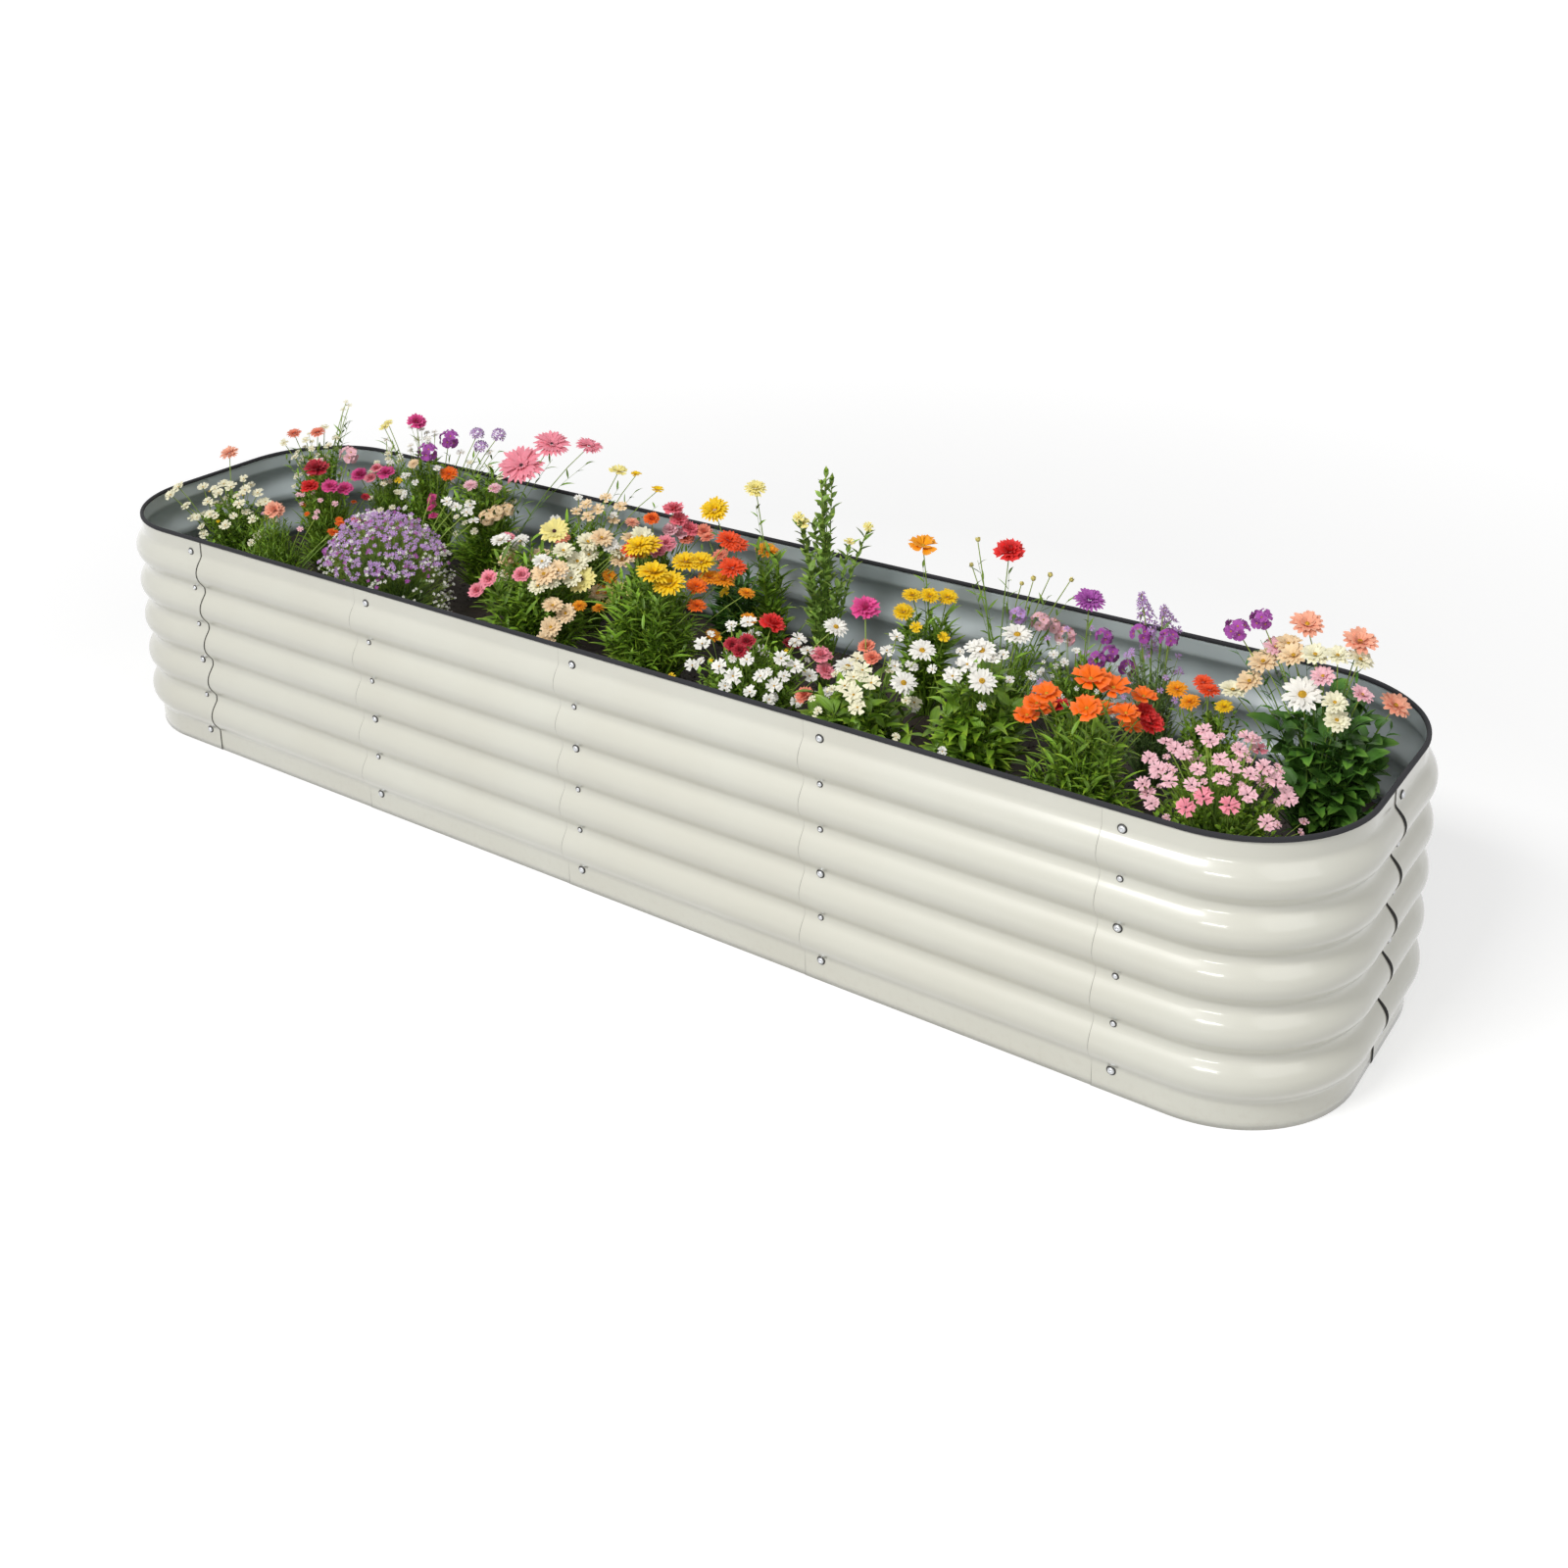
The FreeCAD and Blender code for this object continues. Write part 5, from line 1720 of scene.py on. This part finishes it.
def grow_clump(node, slot):
    """Leaves and stems in one object and flowers in another, in the place of a clump's node."""
    clump = CLUMPS[node]
    rng = np.random.default_rng(settings().greens.seed + sum(map(ord, node)))
    foot, middle, radii, tall = clump_body(node)
    mound = radii[0] > tall * MOUND_SHARE
    blooms, leaves = Shape(), Shape()
    stem_ends, strewn_ends = [], []
    for kind, petals, size, spots in clump.blooms:
        places = [meet(middle, radii, *spot) for spot in spots]
        if mound:
            places += far_spots(rng, middle, radii, len(spots) // 2)
        for place in places:
            place[2] = max(place[2], foot[2] + size / MM_IN_METRE)
            facing = bloom_facing(rng, kind, place, middle)
            radius = size / MM_IN_METRE * rng.uniform(*BLOOM_SIZES)
            add_bloom(blooms, rng, kind, petals, place, facing, radius)
            stem_ends.append(place - facing * STEM_UNDER_BLOOM)
    for kind, petals, size, count, lowest, highest in clump.strewn:
        for place in strewn_spots(rng, foot, middle, radii, tall, count, lowest, highest):
            facing = bloom_facing(rng, kind, place, middle)
            radius = size / MM_IN_METRE * rng.uniform(*STREWN_SIZES)
            add_bloom(blooms, rng, kind, petals, place, facing, radius)
            strewn_ends.append(place)
    foot_spread = radii[0] * FOOT_SHARE
    for ends, radius in ((stem_ends, FLOWER_STEM), (strewn_ends, STREWN_STEM)):
        if ends:
            add_stems(leaves, lines_from_foot(rng, foot, foot_spread, ends), radius, "stem")
    tips = []
    while len(tips) < clump.shoots:
        tip = middle + any_way(rng) * radii * rng.uniform(*TIP_DEPTHS)
        if LOWEST_TIP * tall < tip[2] - foot[2] < clump.cover * tall:
            tips.append(tip)
    add_shoots(leaves, rng, clump.leaf, tips, foot, foot_spread, clump.green)
    if clump.blades:
        height = min(tall * BLADE_SHARE, TALLEST_BLADE)
        add_blades(leaves, rng, clump.blades, foot, radii[0], height, clump.green)
    if not mound:
        add_leafy_stems(leaves, rng, clump, foot, foot_spread, stem_ends)
    finish_piece(leaves.build(f"{node}_leaves"), "green_leaves", node)
    finish_piece(blooms.build(f"{node}_blooms"), slot, node)


def add_leafy_stems(shape, rng, clump, foot, foot_spread, ends):
    """A few leaves up the stems of the taller flowers."""
    kind, below, scale = ("leafy", 0.004, 0.80) if clump.leaf == "leafy" else ("lance", 0.03, 0.62)
    tips = [end - (0.0, 0.0, below) for end in ends]
    add_shoots(shape, rng, kind, tips, foot, foot_spread, clump.green, first=0.35, scale=scale)


def build_clumps(*nodes):
    """Grow the named clumps."""
    slots = {entry["node"]: entry["material_slot"] for entry in frame["record"]["subparts"]}
    for node in nodes:
        grow_clump(node, slots[node])


# The seedling's spot in the picture, the height over the soil that is seen there, the height,
# number and scale of its leaves, its stem's height, radius and lean, and how far its leaves look
# upwards.
SEEDLING_SPOT = (1343, 835)
SEEDLING_SIGHT = 0.012
SEEDLING_HEIGHT = 0.008
SEEDLING_LEAVES = 6
SEEDLING_SCALE = 0.42
SEEDLING_STEM, SEEDLING_STEM_RADIUS, SEEDLING_LEAN = 0.009, 0.0012, 0.5
SEEDLING_UPWARD = 0.5


def build_seedling():
    """Young plant with star-like leaves on the bare soil near the right end."""
    start, look = sight_line(*SEEDLING_SPOT)
    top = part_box("soil_fill")[1].z
    foot = start + look * (top + SEEDLING_SIGHT - start[2]) / look[2]
    foot[2] = top
    rng = np.random.default_rng(settings().greens.seed)
    shape = Shape()
    turns = np.arange(SEEDLING_LEAVES) * 2 * math.pi / SEEDLING_LEAVES
    upward = np.full(SEEDLING_LEAVES, SEEDLING_UPWARD)
    directions = np.stack([np.cos(turns), np.sin(turns), upward], 1)
    places = np.tile(foot + (0, 0, SEEDLING_HEIGHT), (SEEDLING_LEAVES, 1))
    add_leaves(shape, rng, "broad", places, directions, "fresh", SEEDLING_SCALE)
    foot_end, top_end = foot - (0, 0, STEM_DEPTH), foot + (0, 0, SEEDLING_STEM)
    line = stem_lines([foot_end], [top_end], SEEDLING_LEAN)
    add_stems(shape, line, SEEDLING_STEM_RADIUS, "stem")
    finish_piece(shape.build("seedling"), "green_leaves")


# ----- Studio -----

WHITE = (1.0, 1.0, 1.0, 1.0)
FLOOR_REACH = 40.0
FLOOR_LEVEL = -0.0006
# How far from the bed's middle the floor starts and stops getting paler.
GLOW_RISE = (1.6, 4.5)
# Each lamp's place, the spot that it looks at, and its width and height.
LAMPS = {
    "key": ((0.1, -3.4, 3.9), (0.0, 0.0, 0.2), (1.8, 1.0)),
    "streak": ((1.5, -2.6, 1.6), (1.0, -0.25, 0.3), (0.8, 0.25)),
    "fill": ((3.4, -1.2, 2.2), (0.4, 0.0, 0.2), (2.0, 2.0)),
}


def seen_directly(tree):
    """1 for what the camera, a reflection or clear glass sees, 0 for light on its way."""
    paths = tree.nodes.new("ShaderNodeLightPath").outputs
    seen = math_node(tree, "MAXIMUM", paths["Is Camera Ray"], paths["Is Glossy Ray"])
    return math_node(tree, "MAXIMUM", seen, paths["Is Transmission Ray"])


def build_floor():
    """Pale floor, a hair under the bed, that looks paler further off."""
    studio = settings().studio
    mesh = bpy.data.meshes.new("floor")
    corners = [(x * FLOOR_REACH, y * FLOOR_REACH, FLOOR_LEVEL)
               for x, y in ((-1, -1), (1, -1), (1, 1), (-1, 1))]
    mesh.from_pydata(corners, [], [(0, 1, 2, 3)])
    material, tree, surface = new_material("pale_floor", 0.9, Specular_IOR_Level=0.1)
    surface.inputs["Base Color"].default_value = (*studio.ground, 1.0)
    surface.inputs["Emission Color"].default_value = WHITE
    distance = tree.nodes.new("ShaderNodeVectorMath")
    distance.operation = "LENGTH"
    tree.links.new(object_place(tree), distance.inputs[0])
    glow = remap(tree, distance.outputs["Value"], *GLOW_RISE, studio.ground_glow, studio.far_glow)
    glow = math_node(tree, "MULTIPLY", seen_directly(tree), glow)
    tree.links.new(glow, surface.inputs["Emission Strength"])
    mesh.materials.append(material)
    floor = bpy.data.objects.new("floor", mesh)
    bpy.context.scene.collection.objects.link(floor)


def build_sky():
    """Even light, with a white background for the camera and for reflections."""
    world = bpy.data.worlds.new("studio_sky")
    world.use_nodes = True
    bpy.context.scene.world = world
    tree = world.node_tree
    background = tree.nodes["Background"]
    strength = remap(tree, seen_directly(tree), 0.0, 1.0, settings().studio.sky, 1.0)
    tree.links.new(strength, background.inputs["Strength"])
    background.inputs["Color"].default_value = WHITE


def build_lamp(name, place, target, size, watts):
    """Rectangular lamp that looks at a target."""
    lamp = bpy.data.lights.new(name, "AREA")
    lamp.shape = "RECTANGLE"
    lamp.size, lamp.size_y = size
    lamp.energy = watts
    holder = bpy.data.objects.new(name, lamp)
    holder.location = place
    aim_at = Vector(target) - Vector(place)
    holder.rotation_euler = aim_at.to_track_quat("-Z", "Y").to_euler()
    bpy.context.scene.collection.objects.link(holder)


def build_camera():
    """Camera that shows the bed as the photo does."""
    studio = settings().studio
    camera = bpy.data.cameras.new("camera")
    camera.sensor_width = SENSOR
    camera.lens = studio.lens
    camera.shift_x = studio.shift_right
    camera.shift_y = studio.shift_up
    holder = bpy.data.objects.new("camera", camera)
    turn = Matrix([list(row) for row in camera_axes()]).transposed().to_4x4()
    holder.matrix_world = Matrix.Translation(studio.camera_place) @ turn
    bpy.context.scene.collection.objects.link(holder)
    bpy.context.scene.camera = holder


def build_studio():
    """Floor, even light, lamps and camera."""
    studio = settings().studio
    build_floor()
    build_sky()
    for name, (place, target, size) in LAMPS.items():
        build_lamp(f"{name}_lamp", place, target, size, getattr(studio, name))
    build_camera()
    bpy.context.scene.view_settings.view_transform = "Standard"


# ----- Operators, panel and main -----


class GARDEN_OT_side_panels(bpy.types.Operator):
    """Build the eight corrugated side panels"""

    bl_idname = "garden.side_panels"
    bl_label = "Side Panels"

    def execute(self, context):
        build_side_panels()
        return {"FINISHED"}


class GARDEN_OT_corner_panels(bpy.types.Operator):
    """Build the four quarter-round corner panels"""

    bl_idname = "garden.corner_panels"
    bl_label = "Corner Panels"

    def execute(self, context):
        build_corner_panels()
        return {"FINISHED"}


class GARDEN_OT_rim_edging(bpy.types.Operator):
    """Build the rubber edging on the rim"""

    bl_idname = "garden.rim_edging"
    bl_label = "Rim Edging"

    def execute(self, context):
        build_rim_edging()
        return {"FINISHED"}


class GARDEN_OT_fasteners(bpy.types.Operator):
    """Build the bolt heads and finish the nuts and tie rods"""

    bl_idname = "garden.fasteners"
    bl_label = "Bolts, Nuts and Rods"

    def execute(self, context):
        build_bolt_heads()
        return {"FINISHED"}


class GARDEN_OT_soil(bpy.types.Operator):
    """Build the potting soil with its crumbs and chips"""

    bl_idname = "garden.soil"
    bl_label = "Soil"

    def execute(self, context):
        build_soil()
        return {"FINISHED"}


class GARDEN_OT_flowers_left(bpy.types.Operator):
    """Grow the clumps of the left third of the bed"""

    bl_idname = "garden.flowers_left"
    bl_label = "Flowers, Left"

    def execute(self, context):
        build_clumps("cream_violas", "salmon_cushion", "coral_stalks", "red_carnations",
                     "rose_pinks", "purple_phlox", "lavender_mound", "pink_gerberas",
                     "yellow_stems")
        return {"FINISHED"}


class GARDEN_OT_flowers_middle(bpy.types.Operator):
    """Grow the clumps of the middle third of the bed"""

    bl_idname = "garden.flowers_middle"
    bl_label = "Flowers, Middle"

    def execute(self, context):
        build_clumps("apricot_cluster", "peach_daisies", "rose_cluster", "yellow_mums",
                     "orange_zinnias", "tall_stalk", "white_verbena", "leafy_stalk",
                     "white_stocks", "yellow_daisies")
        return {"FINISHED"}


class GARDEN_OT_flowers_right(bpy.types.Operator):
    """Grow the clumps of the right third of the bed, and the seedling"""

    bl_idname = "garden.flowers_right"
    bl_label = "Flowers, Right"

    def execute(self, context):
        build_clumps("white_daisies", "red_ranunculus", "purple_scabious", "orange_poppies",
                     "purple_spikes", "orange_marigolds", "peach_dahlias", "pink_verbena")
        build_seedling()
        return {"FINISHED"}


class GARDEN_OT_studio(bpy.types.Operator):
    """Set up the floor, light and camera"""

    bl_idname = "garden.studio"
    bl_label = "Studio"

    def execute(self, context):
        build_studio()
        return {"FINISHED"}


OPERATORS = (
    GARDEN_OT_side_panels, GARDEN_OT_corner_panels, GARDEN_OT_rim_edging, GARDEN_OT_fasteners,
    GARDEN_OT_soil, GARDEN_OT_flowers_left, GARDEN_OT_flowers_middle, GARDEN_OT_flowers_right,
    GARDEN_OT_studio,
)


class GARDEN_PT_builder(bpy.types.Panel):
    """Lists the builders of the garden bed"""

    bl_idname = "GARDEN_PT_builder"
    bl_label = "Garden Bed"
    bl_space_type = "VIEW_3D"
    bl_region_type = "UI"
    bl_category = "Garden Bed"

    def draw(self, context):
        for operator in OPERATORS:
            self.layout.operator(operator.bl_idname)


CLASSES = (SheetSizes, Finishes, PetalColours, Greens, Studio, GardenBed) + OPERATORS + (
    GARDEN_PT_builder,
)


def register():
    for cls in CLASSES:
        bpy.utils.register_class(cls)
    bpy.types.Scene.garden_bed = PointerProperty(type=GardenBed)


def unregister():
    del bpy.types.Scene.garden_bed
    for cls in reversed(CLASSES):
        bpy.utils.unregister_class(cls)


def main():
    register()
    bpy.ops.garden.side_panels()
    bpy.ops.garden.corner_panels()
    bpy.ops.garden.rim_edging()
    bpy.ops.garden.fasteners()
    bpy.ops.garden.soil()
    bpy.ops.garden.flowers_left()
    bpy.ops.garden.flowers_middle()
    bpy.ops.garden.flowers_right()
    bpy.ops.garden.studio()


if __name__ == "__main__":
    main()
